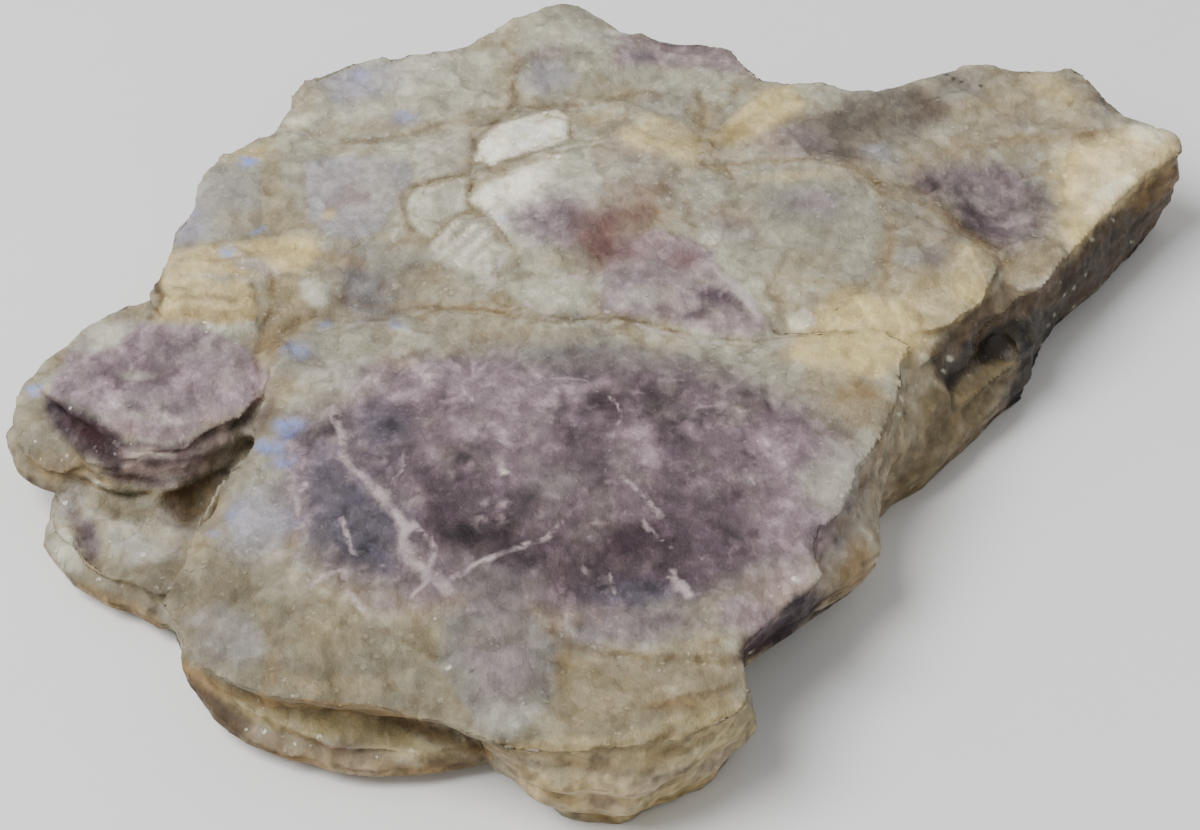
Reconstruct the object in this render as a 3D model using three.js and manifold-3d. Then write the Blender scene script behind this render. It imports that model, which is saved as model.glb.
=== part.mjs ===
// Rough lepidolite: a hand-sized slab of grown-together mica plates, resting on its flat underside.
// Millimetres, +Z up, the underside on z = 0 and the slab centred on the origin.
// The long way of the slab is X, and its lower, layered front edge faces -Y.
import * as THREE from 'three'
import { mergeVertices } from 'three/addons/utils/BufferGeometryUtils.js'
import Module from 'manifold-3d'

// Driving dimensions
const SLAB_LENGTH = 104.4 // along X, edge of the left lobe to tip of the right wing
const RIM_HEIGHT = 11.0 // typical height of the slab's upper edge
const DOME_RISE = 1.7 // extra height under the purple dome, before its own plate
const LOBE_HEIGHT = 10.2 // upper face of the purple book on the left
const BOOK_FLOOR = 3.9 // underside of the book, above the low lobe
const PALE_LAYER_HEIGHT = 7.4 // upper face of the paler layer beside that book
const LOW_LOBE_HEIGHT = 4.2 // upper face of the low lobe below that book
const LIP_HEIGHT = 4.3 // upper face of the lip under the front edge
const PIT_FLOOR = 6.4 // bottom of the glassy pit in the right side
const PLATE_DEPTH = 2.6 // how far each surface plate reaches down into the slab
const RIM_ROUNDING = 0.35 // drop of a worn upper edge
const UNDERCUT = 2.8 // how far the foot of the near sides runs in under the slab, along Y

const SWELL = { height: 0.35, length: 9 } // broad unevenness of the upper faces
const RIPPLE = { height: 0.16, length: 3.4 } // finer unevenness on top of it
const CHIP = { depth: 0.45, length: 2.3 } // roughness of the broken edges, seen from above
const LEDGE = { depth: 0.6, length: 3 } // steps of the mica layers down the sides

// Seeded value noise between -1 and 1, so that the stone comes out the same each time
const NOISE_SEED = 7

function lattice(i, j, k) {
  let h = Math.imul(i, 374761393) ^ Math.imul(j, 668265263) ^ Math.imul(k, 2147483647) ^ NOISE_SEED
  h = Math.imul(h ^ (h >>> 13), 1274126177)
  return ((h ^ (h >>> 16)) >>> 0) / 4294967295 * 2 - 1
}

function noise(x, y, z, length = 1) {
  return smoothNoise(x / length, y / length, z)
}

function smoothNoise(x, y, z) {
  const [i, j, k] = [Math.floor(x), Math.floor(y), Math.floor(z)]
  const ease = (t) => t * t * (3 - 2 * t)
  const [u, v, w] = [ease(x - i), ease(y - j), ease(z - k)]
  const lerp = THREE.MathUtils.lerp
  const row = (b, c) => lerp(lattice(i, j + b, k + c), lattice(i + 1, j + b, k + c), u)
  return lerp(lerp(row(0, 0), row(1, 0), v), lerp(row(0, 1), row(1, 1), v), w)
}

// A smooth mound of height 1 over (cx, cy)
function mound(x, y, cx, cy, rx, ry) {
  return Math.exp(-(((x - cx) / rx) ** 2) - ((y - cy) / ry) ** 2)
}

// Height of the slab's own upper face, before the plates that lie on it
function slabTop(x, y) {
  let z = RIM_HEIGHT
  z += DOME_RISE * mound(x, y, -3, -14, 18, 15)
  z += 0.6 * mound(x, y, -2, 20, 22, 12)
  z += 0.7 * mound(x, y, -4, 46, 7, 6)
  z -= 0.8 * mound(x, y, -14, -38, 16, 6)
  z -= 0.9 * mound(x, y, 40, 24, 9, 11)
  z -= 0.7 * mound(x, y, -14, 34, 16, 3)
  return z + SWELL.height * noise(x, y, 1, SWELL.length) + RIPPLE.height * noise(x, y, 2, RIPPLE.length)
}

// A closed smooth curve through the points of an outline
function smoothLoop(outline) {
  const points = outline.map(([x, y]) => new THREE.Vector3(x, y, 0))
  return new THREE.CatmullRomCurve3(points, true, 'centripetal')
}

// Polar radii of an outline, seen from its centre, at the given angles
function radiiAt(outline, [cx, cy], angles) {
  const stepsPerPoint = 8
  const samples = smoothLoop(outline).getPoints(outline.length * stepsPerPoint).slice(0, -1)
  const polar = samples.map((p) => [Math.atan2(p.y - cy, p.x - cx), Math.hypot(p.x - cx, p.y - cy)])
  polar.sort((a, b) => a[0] - b[0])
  const first = polar[0]
  const last = polar[polar.length - 1]
  const turn = 2 * Math.PI
  const ring = [[last[0] - turn, last[1]], ...polar, [first[0] + turn, first[1]]]
  return angles.map((angle) => {
    const next = ring.findIndex((p) => p[0] > angle)
    const [a, b] = [ring[next - 1], ring[next]]
    return THREE.MathUtils.lerp(a[1], b[1], (angle - a[0]) / Math.max(b[0] - a[0], 1e-9))
  })
}

// Angles from the centre to points spaced evenly along an outline, in rising order
function evenAngles(outline, [cx, cy], count) {
  const spaced = smoothLoop(outline).getSpacedPoints(count).slice(0, -1)
  return spaced.map((p) => Math.atan2(p.y - cy, p.x - cx)).sort((a, b) => a - b)
}

// The same outline moved away from a centre by some millimetres, or towards it
function spread(outline, [cx, cy], distance) {
  return outline.map(([x, y]) => {
    const radius = Math.hypot(x - cx, y - cy)
    const scale = (radius + distance) / radius
    return [cx + (x - cx) * scale, cy + (y - cy) * scale]
  })
}

// The foot of a near side, run in under the stone
function undercut(outline, distance = UNDERCUT) {
  return outline.map(([x, y]) => [x, y + distance])
}

// Rings of the upper face stand closer together towards its edge, by this power
const CROWDING = 1.4

// A closed body through stacked outlines. `sections` run from foot to rim, each with its share of the height.
function lump(shape) {
  const { centre, sections, floor = 0, top, around, sideRings, topRings } = shape
  const { ledge = LEDGE.depth, round = RIM_ROUNDING } = shape
  const [cx, cy] = centre
  const rim = sections[sections.length - 1].outline
  const angles = evenAngles(rim, centre, around)
  const levels = sections.map(({ share, outline }) => ({ share, radii: radiiAt(outline, centre, angles) }))
  const place = (j, radius) => [cx + radius * Math.cos(angles[j]), cy + radius * Math.sin(angles[j])]
  const radiusAtShare = (j, share) => {
    const upper = Math.max(1, levels.findIndex((level) => level.share >= share))
    const [a, b] = [levels[upper - 1], levels[upper]]
    return THREE.MathUtils.lerp(a.radii[j], b.radii[j], (share - a.share) / (b.share - a.share))
  }
  const rimRadii = levels[levels.length - 1].radii
  const chip = (x, y) => CHIP.depth * noise(x, y, 4, CHIP.length)
  const step = (x, y, k) => ledge * (k % 2 + 0.8 * noise(x, y, k, LEDGE.length))
  const rings = []
  for (let k = 0; k <= sideRings; k++) {
    const share = k / sideRings
    rings.push(angles.map((_, j) => {
      const [rx, ry] = place(j, rimRadii[j])
      const z = THREE.MathUtils.lerp(floor, top(rx, ry) - round, share)
      const inside = k === 0 || k === sideRings ? 0 : step(rx, ry, k)
      return [...place(j, radiusAtShare(j, share) - inside + chip(rx, ry)), z]
    }))
  }
  for (let k = 1; k < topRings; k++) {
    const share = 1 - (k / topRings) ** CROWDING
    const worn = k === 1 ? 0.3 * round : 0
    rings.push(angles.map((_, j) => {
      const [rx, ry] = place(j, rimRadii[j])
      const [x, y] = place(j, (rimRadii[j] + chip(rx, ry)) * share)
      return [x, y, top(x, y) - worn]
    }))
  }
  const vertices = [...rings.flat(), [cx, cy, floor], [cx, cy, top(cx, cy)]]
  const underside = rings.length * around
  const crown = underside + 1
  const indices = []
  for (let j = 0; j < around; j++) {
    const next = (j + 1) % around
    indices.push(underside, next, j)
    for (let k = 0; k + 1 < rings.length; k++) {
      const [a, b] = [k * around + j, k * around + next]
      indices.push(a, b, b + around, a, b + around, a + around)
    }
    const lastRing = (rings.length - 1) * around
    indices.push(lastRing + j, lastRing + next, crown)
  }
  const geometry = new THREE.BufferGeometry()
  geometry.setAttribute('position', new THREE.Float32BufferAttribute(vertices.flat(), 3))
  geometry.setIndex(indices)
  return geometry
}

// Main slab
const SLAB_CENTRE = [2, 2]

// The far edge, from the right tip round the back to the left side; all levels of the slab share it
const FAR_EDGE = [
  [50.6, 34.2], [47.8, 35.1], [47, 37.2], [45.9, 40.1], [43.8, 42.5], [39.6, 41.3], [37.8, 42.9],
  [34, 42.3], [31, 41.5], [27, 39.5], [24, 38.5], [19.5, 39.4], [16, 39.9], [14.4, 40.9], [13.4, 43.5],
  [11.2, 45.7], [8, 46.4], [3.5, 47.1], [1.2, 47.6], [-1.2, 50.2], [-4, 51.6], [-7, 49.8], [-9, 48.3],
  [-12, 46.3], [-20, 44.2], [-25, 42.2], [-27.4, 41.5], [-28.6, 38.8], [-29.2, 35.4], [-30.6, 31.9],
  [-33.9, 29.3], [-35.8, 25.6], [-36.7, 21.2], [-37.6, 16.5], [-38.6, 10.8], [-38.8, 7.2],
]
const RIM_NEAR = [
  [-34, 3.5], [-29, 1.5], [-27.2, -3.5], [-28.2, -9.5], [-30.8, -14], [-32.3, -19], [-33.4, -24.5],
  [-34.3, -27.8], [-33, -30.5], [-32.3, -33.5], [-30, -35.3], [-25.2, -37.8], [-17, -38.8], [-13, -40],
  [-10.5, -42], [-7, -43], [0, -43], [6, -42], [10, -39.8], [11.2, -37], [10.8, -34.4], [14, -30],
  [17.4, -26], [17, -23.4], [16.8, -21.4], [19.4, -19], [21.4, -13.2], [23.4, -10], [24.8, -5.5],
  [26, -1], [28, 1], [31, 3.6], [34, 7.2], [36.5, 9.6], [39, 10.6], [39.8, 13.4], [43, 18.5],
  [47, 23.5], [49.3, 26.1], [51.6, 27.8], [53.5, 30.2], [53, 32.2],
]
const MIDDLE_NEAR = [
  [-35, 5], [-30, 1], [-29, -8], [-30.5, -14], [-31, -20], [-31.8, -25.5], [-30.5, -31], [-27.5, -34],
  [-20, -35.4], [-13, -36.4], [-8, -38.5], [0, -38.5], [6, -36], [11.2, -30.6], [14.4, -27.1],
  [17.5, -24.6], [20, -22.6], [22.4, -20.2], [23.6, -18], [23, -15.8], [23, -13.4], [24.4, -8.8],
  [26.2, -5.8], [28.4, -3], [30.8, -0.6], [33.6, 2], [36, 4.6], [37.8, 7.4], [39.2, 11.4], [42.8, 16.4],
  [46.6, 21.2], [49.4, 25.4], [52, 27.8], [53.7, 30.8], [53.1, 32.6],
]
const LOW_NEAR = [
  [-35, 6], [-29, 2], [-28, -8], [-30, -20], [-30, -28], [-24, -34], [-12, -35], [0, -36], [8, -32],
  [11.4, -27.6], [14.3, -24.5], [17.4, -21.8], [20.2, -19.6], [22.4, -17.2], [23, -14], [23.4, -9.8],
  [25.6, -8.2], [28, -6.1], [31.6, -2], [34.6, 2], [36.8, 4.9], [38.6, 9.3], [40.5, 14.5],
  [43.8, 17.6], [47.5, 22.4], [50.4, 27.2], [52.2, 29.4], [53.2, 32],
]

const slab = lump({
  centre: SLAB_CENTRE,
  sections: [
    { share: 0, outline: [...spread(FAR_EDGE, SLAB_CENTRE, -1.2), ...undercut(LOW_NEAR)] },
    { share: 0.28, outline: [...spread(FAR_EDGE, SLAB_CENTRE, 0.4), ...LOW_NEAR] },
    { share: 0.62, outline: [...spread(FAR_EDGE, SLAB_CENTRE, -0.8), ...MIDDLE_NEAR] },
    { share: 1, outline: [...FAR_EDGE, ...RIM_NEAR] },
  ],
  top: slabTop,
  around: 112,
  sideRings: 6,
  topRings: 5,
})

// A plate lying on the slab. Its lift above the slab's face is given at its centre, with a slope along X
// and Y, so that one side stands proud as a ledge and the other side dips into the slab.
function plate(outline, centre, { lift, slopeX = 0, slopeY = 0, around, topRings = 3, inset = 0.3 }) {
  const [cx, cy] = centre
  const top = (x, y) => slabTop(x, y) + lift + slopeX * (x - cx) + slopeY * (y - cy)
  return lump({
    centre,
    sections: [{ share: 0, outline: spread(outline, centre, -inset) }, { share: 1, outline }],
    floor: RIM_HEIGHT - PLATE_DEPTH,
    top,
    around,
    sideRings: 1,
    topRings,
    ledge: 0.2,
    round: 0.25,
  })
}

const purpleDome = plate(
  [
    [25.6, -1], [26.6, 1.6], [21, 3.4], [15, 2.6], [8, 3.2], [3, 5], [-3, 4.4], [-8, 5.8], [-15, 6.4],
    [-20, 5], [-26.5, 3], [-28.2, -3], [-28.6, -10], [-28.4, -18], [-25.8, -25], [-21, -28.4], [-12, -28.6],
    [-5, -31], [1, -32.8], [10.2, -33.6], [14, -29.6], [17.4, -25.8], [17, -23.4], [16.8, -21.4],
    [19.4, -19], [21.3, -13.4], [23.2, -10], [24.6, -6],
  ],
  [-2, -13],
  { lift: 0.5, slopeX: 0.02, slopeY: 0.021, around: 66, topRings: 5, inset: 1.4 },
)

const raisedPlate = plate(
  [
    [34.5, 11.6], [33.4, 15.2], [31.4, 17.2], [29.6, 20.6], [27.4, 23], [24.6, 23.6], [22.4, 26.2],
    [18.4, 27.2], [13.6, 26.4], [9, 22], [9, 12], [12.6, 4.6], [20, 4.4], [27.6, 2.6], [31, 5.6], [33.6, 9],
  ],
  [21, 14],
  { lift: 0.75, slopeX: 0.05, around: 42, topRings: 4 },
)

const middlePlates = plate(
  [
    [13, 7], [12.6, 14], [12, 22], [9.4, 30], [4.6, 35.6], [-1, 35.8], [-8, 35.2], [-14, 33.2], [-20, 30.2],
    [-27, 30.8], [-30, 24], [-29.6, 15], [-26, 8], [-20, 6.4], [-10, 7.4], [-3, 5.6], [3, 6], [9, 3.8],
  ],
  [-7, 19],
  { lift: 0.45, slopeX: 0.008, slopeY: -0.012, around: 46, topRings: 4 },
)

const whitePlate = plate(
  [[-2.4, 31.6], [-3, 33.6], [-7, 35], [-9.6, 33.6], [-12, 31.8], [-10.9, 28.6], [-10, 26.8], [-7, 28.6]],
  [-7, 31],
  { lift: 0.95, slopeY: 0.03, around: 22, topRings: 2 },
)

const redPlate = plate(
  [
    [8.4, 22], [4.6, 29.4], [2, 31.2], [-1, 30.2], [-8, 27.4], [-11.2, 25], [-11.8, 21.6], [-9.6, 19],
    [-7.4, 14.8], [-5, 10.9], [-1.6, 11.6], [1, 17], [6, 19],
  ],
  [-2, 21],
  { lift: 0.95, slopeX: -0.02, around: 32 },
)

const pinkPlate = plate(
  [
    [15, 3.6], [14, 8], [11.6, 13], [8, 17.4], [4, 17.6], [1, 15.4], [0.2, 9], [0, 5.8], [6, 4.4], [11, 2.6],
  ],
  [7, 9.5],
  { lift: 1.05, slopeX: -0.02, slopeY: -0.015, around: 28 },
)

const palePlate = plate(
  [[-12, 21], [-12.2, 25.4], [-15.2, 24.6], [-16.6, 22], [-16.4, 19.4], [-14, 18.4]],
  [-14, 22],
  { lift: 0.9, around: 16, topRings: 2 },
)

const ochreBlock = plate(
  [
    [-26.8, 5], [-26.4, 9], [-28, 13.4], [-32.6, 15.4], [-36.6, 13.8], [-38, 10.4], [-38.6, 7], [-36, 4.6],
    [-31, 3.8],
  ],
  [-33, 9.5],
  { lift: 0.55, slopeX: -0.02, slopeY: -0.03, around: 28 },
)

const backKnob = plate(
  [
    [3, 44], [1.4, 47.2], [-1.2, 50.5], [-4, 51.8], [-7, 50], [-9, 48.2], [-8.6, 43], [-6, 39.4], [-1, 38.4],
    [2, 40],
  ],
  [-3, 45],
  { lift: 0.3, slopeY: -0.02, around: 26 },
)

const rightWing = plate(
  [
    [50.6, 28.8], [51.2, 31.4], [49.6, 32.8], [46.4, 34.2], [45.8, 36.6], [44.6, 39], [42.6, 40.4],
    [39, 39.6], [37, 41.2], [31.4, 40.4], [27, 38.4], [30, 33], [38, 30.6], [44, 27.6], [47, 26.2],
  ],
  [40, 34],
  { lift: 0.35, slopeX: 0.03, around: 30 },
)

// The rounded knob at the front right
const KNOB_CENTRE = [2, -33]
const KNOB_BACK = [[8, -26], [0, -24], [-8, -28]]
const frontKnob = lump({
  centre: KNOB_CENTRE,
  sections: [
    {
      share: 0,
      outline: [
        ...KNOB_BACK, [-8.4, -35], [-5.6, -37.8], [-2.6, -40.6], [1.4, -41.8], [4.4, -39.9], [7.8, -37.8],
        [9.6, -35], [11, -32], [10.8, -28.6],
      ],
    },
    {
      share: 0.3,
      outline: [
        ...KNOB_BACK, [-9.3, -38], [-6.3, -40.6], [-3.1, -42.8], [0, -43.4], [1.6, -43.8], [3.7, -43],
        [5.2, -41.7], [8.3, -39.7], [9.9, -37.8], [12, -35], [12.4, -32.6], [11.8, -29.6],
      ],
    },
    {
      share: 0.62,
      outline: [
        ...KNOB_BACK, [-9.2, -40.4], [-6.2, -42.6], [-3.1, -44.6], [0, -45], [1.5, -45.4], [3.6, -44.6],
        [5.1, -43.4], [8.2, -41.5], [9.8, -39.8], [11.8, -37.2], [12.1, -35], [11.6, -32],
      ],
    },
    {
      share: 1,
      outline: [
        ...KNOB_BACK, [-9.6, -41.6], [-7, -43.2], [-3, -43.6], [0, -43.7], [3.2, -43], [7, -42.2],
        [10, -39.9], [11.3, -37.6], [10.9, -35.4], [10.4, -32],
      ],
    },
  ],
  top: (x, y) => slabTop(x, y) + 0.15 - 0.05 * (y + 38),
  around: 46,
  sideRings: 6,
  topRings: 3,
})

// The lip that sticks out under the front edge, below a dark recess
const LIP_CENTRE = [-20, -28]
const LIP_FRONT = [
  [-8, -35.6], [-9.4, -37.6], [-12.6, -38.2], [-16.8, -38.7], [-21, -38.1], [-25.3, -36.4], [-28.7, -34.3],
  [-31.4, -31.6], [-33, -29.2], [-34.3, -25.6], [-35.4, -22.4], [-31, -19], [-20, -22], [-10, -26],
]
const frontLip = lump({
  centre: LIP_CENTRE,
  sections: [
    { share: 0, outline: undercut(LIP_FRONT, 2.6) },
    { share: 0.5, outline: LIP_FRONT },
    { share: 1, outline: spread(LIP_FRONT, LIP_CENTRE, -1.6) },
  ],
  top: (x, y) => LIP_HEIGHT - 0.05 * (x + 20) + 0.3 * noise(x, y, 3, 5),
  around: 42,
  sideRings: 4,
  topRings: 2,
})

// The purple book on the left: an upper plate with a layered front face, and a paler layer beside and below
const BOOK_CENTRE = [-37, -1]
const bookTop = (x, y) =>
  LOBE_HEIGHT + 0.07 * (y + 1) + 0.6 * mound(x, y, -37, 0, 7, 5) + 0.25 * noise(x, y, 5, 5)
const BOOK_EDGE = [
  [-26.4, 0.5], [-27.9, -2.9], [-29.3, -5.2], [-32.1, -6.6], [-34, -8.2], [-36.4, -8.7], [-38.9, -8.3],
  [-41, -6.8], [-43.6, -5.2], [-46.3, -3.6], [-47.6, -1.2], [-46.8, 1.2], [-44, 6], [-40.8, 8.4],
  [-36, 7.8], [-30, 5],
]
const BOOK_FOOT = [
  [-26.4, 1.4], [-28.2, -0.6], [-30, -4.4], [-32.6, -6.9], [-35.2, -8.5], [-38.3, -9], [-41, -8.4],
  [-42.6, -6.4], [-44, -3.4], [-45, -0.6], [-44.8, 2], [-42.6, 5], [-39.6, 7], [-36, 7.4], [-30, 5],
]
const purpleBook = lump({
  centre: BOOK_CENTRE,
  sections: [
    { share: 0, outline: spread(BOOK_FOOT, BOOK_CENTRE, 0.2) },
    { share: 0.3, outline: spread(BOOK_FOOT, BOOK_CENTRE, 1.6) },
    { share: 0.65, outline: spread(BOOK_FOOT, BOOK_CENTRE, 1.3) },
    { share: 1, outline: BOOK_EDGE },
  ],
  floor: BOOK_FLOOR,
  top: bookTop,
  around: 50,
  sideRings: 6,
  topRings: 4,
  ledge: 0.3,
})

const LAYER_CENTRE = [-42.5, -1]
const LAYER_EDGE = [
  [-37, -2], [-39, -7], [-42, -8.8], [-45.8, -9.8], [-48.2, -8.2], [-49.8, -5.6], [-50.5, -2.6],
  [-50.2, 0.2], [-48.8, 2.8], [-45.8, 5.6], [-41, 7.2], [-38, 3],
]
const paleLayer = lump({
  centre: LAYER_CENTRE,
  sections: [
    { share: 0, outline: undercut(spread(LAYER_EDGE, LAYER_CENTRE, -1.4), 1.2) },
    { share: 0.45, outline: LAYER_EDGE },
    { share: 1, outline: spread(LAYER_EDGE, LAYER_CENTRE, -0.9) },
  ],
  floor: BOOK_FLOOR - 1.1,
  top: (x, y) => PALE_LAYER_HEIGHT + 0.1 * (y + 1) - 0.04 * (x + 42) + 0.3 * noise(x, y, 8, 4),
  around: 34,
  sideRings: 4,
  topRings: 3,
})

// The low lobe in front of the book
const LOW_LOBE_CENTRE = [-37, -12]
const LOW_LOBE_EDGE = [
  [-25, -12], [-29.6, -21], [-35, -22.8], [-36.8, -21.6], [-38.8, -20.2], [-41.5, -18.9], [-43.8, -17],
  [-45.5, -15], [-46.6, -12.6], [-46.6, -10.6], [-47, -8], [-45, -3], [-38, 1], [-26, -2],
]
const lowLobe = lump({
  centre: LOW_LOBE_CENTRE,
  sections: [
    { share: 0, outline: undercut(LOW_LOBE_EDGE, 2.4) },
    { share: 0.4, outline: LOW_LOBE_EDGE },
    { share: 1, outline: spread(LOW_LOBE_EDGE, LOW_LOBE_CENTRE, -1.5) },
  ],
  top: (x, y) => LOW_LOBE_HEIGHT + 0.16 * Math.max(0, x + 38) + 0.7 * mound(x, y, -36.5, -13, 2, 5)
    - 0.8 * mound(x, y, -32, -9, 3, 3) + 0.3 * noise(x, y, 11, 4),
  around: 40,
  sideRings: 4,
  topRings: 4,
})

// The glassy pit below the raised plate, cut into the right side
const PIT_CENTRE = [32.6, 2.6]
const PIT_EDGE = [
  [37.4, 6], [35.4, 8.6], [33, 7], [30.4, 4.6], [27.9, 1.8], [28, -0.4], [29.6, -3.2], [31.6, -2.4],
  [34.6, 0.6], [37, 3],
]
const pit = lump({
  centre: PIT_CENTRE,
  sections: [
    { share: 0, outline: spread(PIT_EDGE, PIT_CENTRE, -1.6) },
    { share: 1, outline: PIT_EDGE },
  ],
  floor: PIT_FLOOR,
  top: () => RIM_HEIGHT + 2,
  around: 24,
  sideRings: 3,
  topRings: 2,
  round: 0,
})

// Joining and cutting
const wasm = await Module()
wasm.setup()

function solid(geometry) {
  const merged = mergeVertices(geometry, 1e-5)
  const vertProperties = new Float32Array(merged.attributes.position.array)
  const triVerts = new Uint32Array(merged.index.array)
  return new wasm.Manifold(new wasm.Mesh({ numProp: 3, vertProperties, triVerts }))
}

const LUMPS = [
  slab, purpleDome, raisedPlate, middlePlates, whitePlate, redPlate, pinkPlate, palePlate, ochreBlock,
  backKnob, rightWing, frontKnob, frontLip, purpleBook, paleLayer, lowLobe,
]
const joined = LUMPS.map(solid).reduce((stone, next) => stone.add(next)).subtract(solid(pit))

const mesh = joined.getMesh()
const stoneGeometry = new THREE.BufferGeometry()
stoneGeometry.setAttribute('position', new THREE.BufferAttribute(new Float32Array(mesh.vertProperties), 3))
stoneGeometry.setIndex(new THREE.BufferAttribute(new Uint32Array(mesh.triVerts), 1))
stoneGeometry.computeBoundingBox()
const middle = stoneGeometry.boundingBox.getCenter(new THREE.Vector3())
const size = stoneGeometry.boundingBox.getSize(new THREE.Vector3())
const scale = SLAB_LENGTH / size.x
stoneGeometry.translate(-middle.x, -middle.y, 0)
stoneGeometry.scale(scale, scale, scale)
stoneGeometry.computeVertexNormals()

const stone = new THREE.Mesh(
  stoneGeometry,
  new THREE.MeshStandardMaterial({ color: 0xa49d90, roughness: 0.55, metalness: 0 }),
)
stone.name = 'lepidolite_slab'

const model = new THREE.Group()
model.add(stone)
export default model
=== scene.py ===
# Rough lepidolite: one hand-sized slab of grown-together lithium mica, lying on its underside.
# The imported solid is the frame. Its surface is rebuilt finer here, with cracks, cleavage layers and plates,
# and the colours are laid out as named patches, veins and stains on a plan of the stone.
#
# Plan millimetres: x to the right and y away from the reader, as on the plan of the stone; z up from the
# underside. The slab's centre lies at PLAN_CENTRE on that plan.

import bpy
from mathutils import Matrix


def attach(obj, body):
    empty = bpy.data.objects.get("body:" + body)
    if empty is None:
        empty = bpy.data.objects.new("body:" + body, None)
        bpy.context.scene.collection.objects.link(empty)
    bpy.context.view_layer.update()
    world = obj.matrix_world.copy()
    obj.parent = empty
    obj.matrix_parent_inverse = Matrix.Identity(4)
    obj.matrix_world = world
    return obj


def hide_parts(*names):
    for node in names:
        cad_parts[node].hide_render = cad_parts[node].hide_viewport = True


bl_info = {
    "name": "Rough Lepidolite",
    "version": (1, 0, 0),
    "blender": (4, 5, 0),
    "location": "View3D > Sidebar > Lepidolite",
    "description": "Builds a rough slab of lepidolite mica with its surface, colours and sparkling flakes",
    "category": "Add Mesh",
}

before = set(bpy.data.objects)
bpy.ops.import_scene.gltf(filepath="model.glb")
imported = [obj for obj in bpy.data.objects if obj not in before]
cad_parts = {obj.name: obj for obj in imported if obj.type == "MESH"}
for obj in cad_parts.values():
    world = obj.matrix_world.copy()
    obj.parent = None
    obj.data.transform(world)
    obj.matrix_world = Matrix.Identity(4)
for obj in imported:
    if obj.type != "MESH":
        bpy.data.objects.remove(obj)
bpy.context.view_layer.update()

import math

import bmesh
import bpy
import numpy as np
from mathutils import Vector

NODE = "lepidolite_slab"
BODY = "root"

MM = 0.001
FLAKE_THICKNESS = 0.07  # as a share of the flake's radius
LEAST_FLAKE_SLOPE = 0.6  # flakes lie where the surface normal's Z is at least this
LOWEST_FLAKE = 0.0015  # height in metres above which flakes lie
UNDERSIDE_SLOPE = -0.5  # the underside is where the surface normal's Z is below this
UNDERSIDE_THINNING = 0.8  # share of the triangles of the underside that its coarser mesh saves
GRAIN_STRETCH = np.array([1.0, 0.7, 1.0])  # the mica grain is longer along y
COARSE_GRAIN = 2.2  # size of the coarse grain, as a multiple of the fine one
VEIN_STRENGTH = 0.85
CRACK_STAIN_AND_HOLLOW_SHADE = (0.42, 0.33, 0.2)  # cracks are stained and hollows given painted shade by this
HAZE = (1.9, 1.85, 1.85)  # the purple mica is lightened by this
PLAN_CENTRE = np.array([1.637, 3.429, 0.0])
RIM_PLANE = 11.0  # height of the plane on which the plan is drawn
PIT_CENTRE = np.array([32.0, 2.0])
DOME = (-3.0, -14.0, 25.0, 17.5)  # x, y, half length and half width
GLASSY_PATCH = (30.5, 3.0, 3.8, 6.0)  # x, y, half length and half width
WING_TIP = (49.5, 52.0)  # x from which the edges of the wing are softened, and where they are softest
THICK_LAYER = 1.35  # thickness of the cleavage layers in the sides
THIN_LAYER = 0.55
LINE_REACH = 4.0  # veins and cracks are stored as a distance, up to so many half widths
FAR = 1e9

# Reference view, in plan millimetres and degrees
VIEW_ELEVATION = math.radians(42.0)
VIEW_DISTANCE = 283.0
VIEW_TARGET = np.array([0.0, 0.0, 5.0])
VIEW_BACK = np.array([0.0, -math.cos(VIEW_ELEVATION), math.sin(VIEW_ELEVATION)])
VIEW_POINT = VIEW_TARGET + VIEW_BACK * VIEW_DISTANCE
LENS = 100.0
SENSOR_WIDTH = 36.0
CLIP_RANGE = (0.01, 10.0)

# Studio, in metres
KEY_PLACE = Vector((-0.38, -0.15, 0.62))
KEY_SIZE = 0.5
FLOOR_REACH = 3.0

PURPLE = ("mauve", "plum", "wine", "slate", "lilac")
# Small mica plates of the upper faces: size, rise, tilt, strength of the seams and seed
MICA_PLATES = ((6.5, 0.26, 0.045, 0.5, 11), (2.8, 0.13, 0.05, 0.4, 17), (1.3, 0.06, 0.05, 0.25, 23))
# Blotches: colour, strength, where in the noise they start and are full, size, squash and seed
GROUND_BLOTCHES = (
    ("pearl", 0.6, 0.0, 0.5, 3.4, 1, 101),
    ("sand", 0.75, 0.0, 0.5, 4.2, 1, 103),
    ("blue_grey", 0.4, 0.2, 0.6, 5.0, 1, 105),
    ("ochre", 0.5, 0.2, 0.6, 3.0, 1, 106),
)
SIDE_BLOTCHES = (("umber", 0.6, 0.1, 0.5, 6.0, 3, 107), ("lilac", 0.6, 0.1, 0.5, 9.0, 2, 109))
# How noise makes the traced marks wander: reach, size and seed of each push
SHAKES = {
    "patches": ((1.2, 3.2, 91), (0.45, 0.9, 93)),
    "plates": ((0.4, 1.3, 95),),
    "lines": ((0.25, 1.0, 89),),
    "veins": ((0.5, 2.2, 97), (0.2, 0.7, 99)),
}

# Lines of the plan along which a plate runs out softly
SOFT_EDGES = {
    "in front of the dome": ((-27, -3), (-26, -14), (-24, -24), (-17, -30), (-8, -31), (-2, -33), (6, -34)),
    "right of the raised plate": ((19, 28), (25, 24), (30, 20.5), (34, 15), (35.6, 12)),
    "on the knob": ((-8, -43.4), (-3, -42.6), (2, -42.6), (7, -41), (11, -39)),
}
# Edge of the raised plate above the step to the right
STEP_EDGE = ((26, 23.4), (30, 20.5), (33, 16.6), (34, 14.6))


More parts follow.
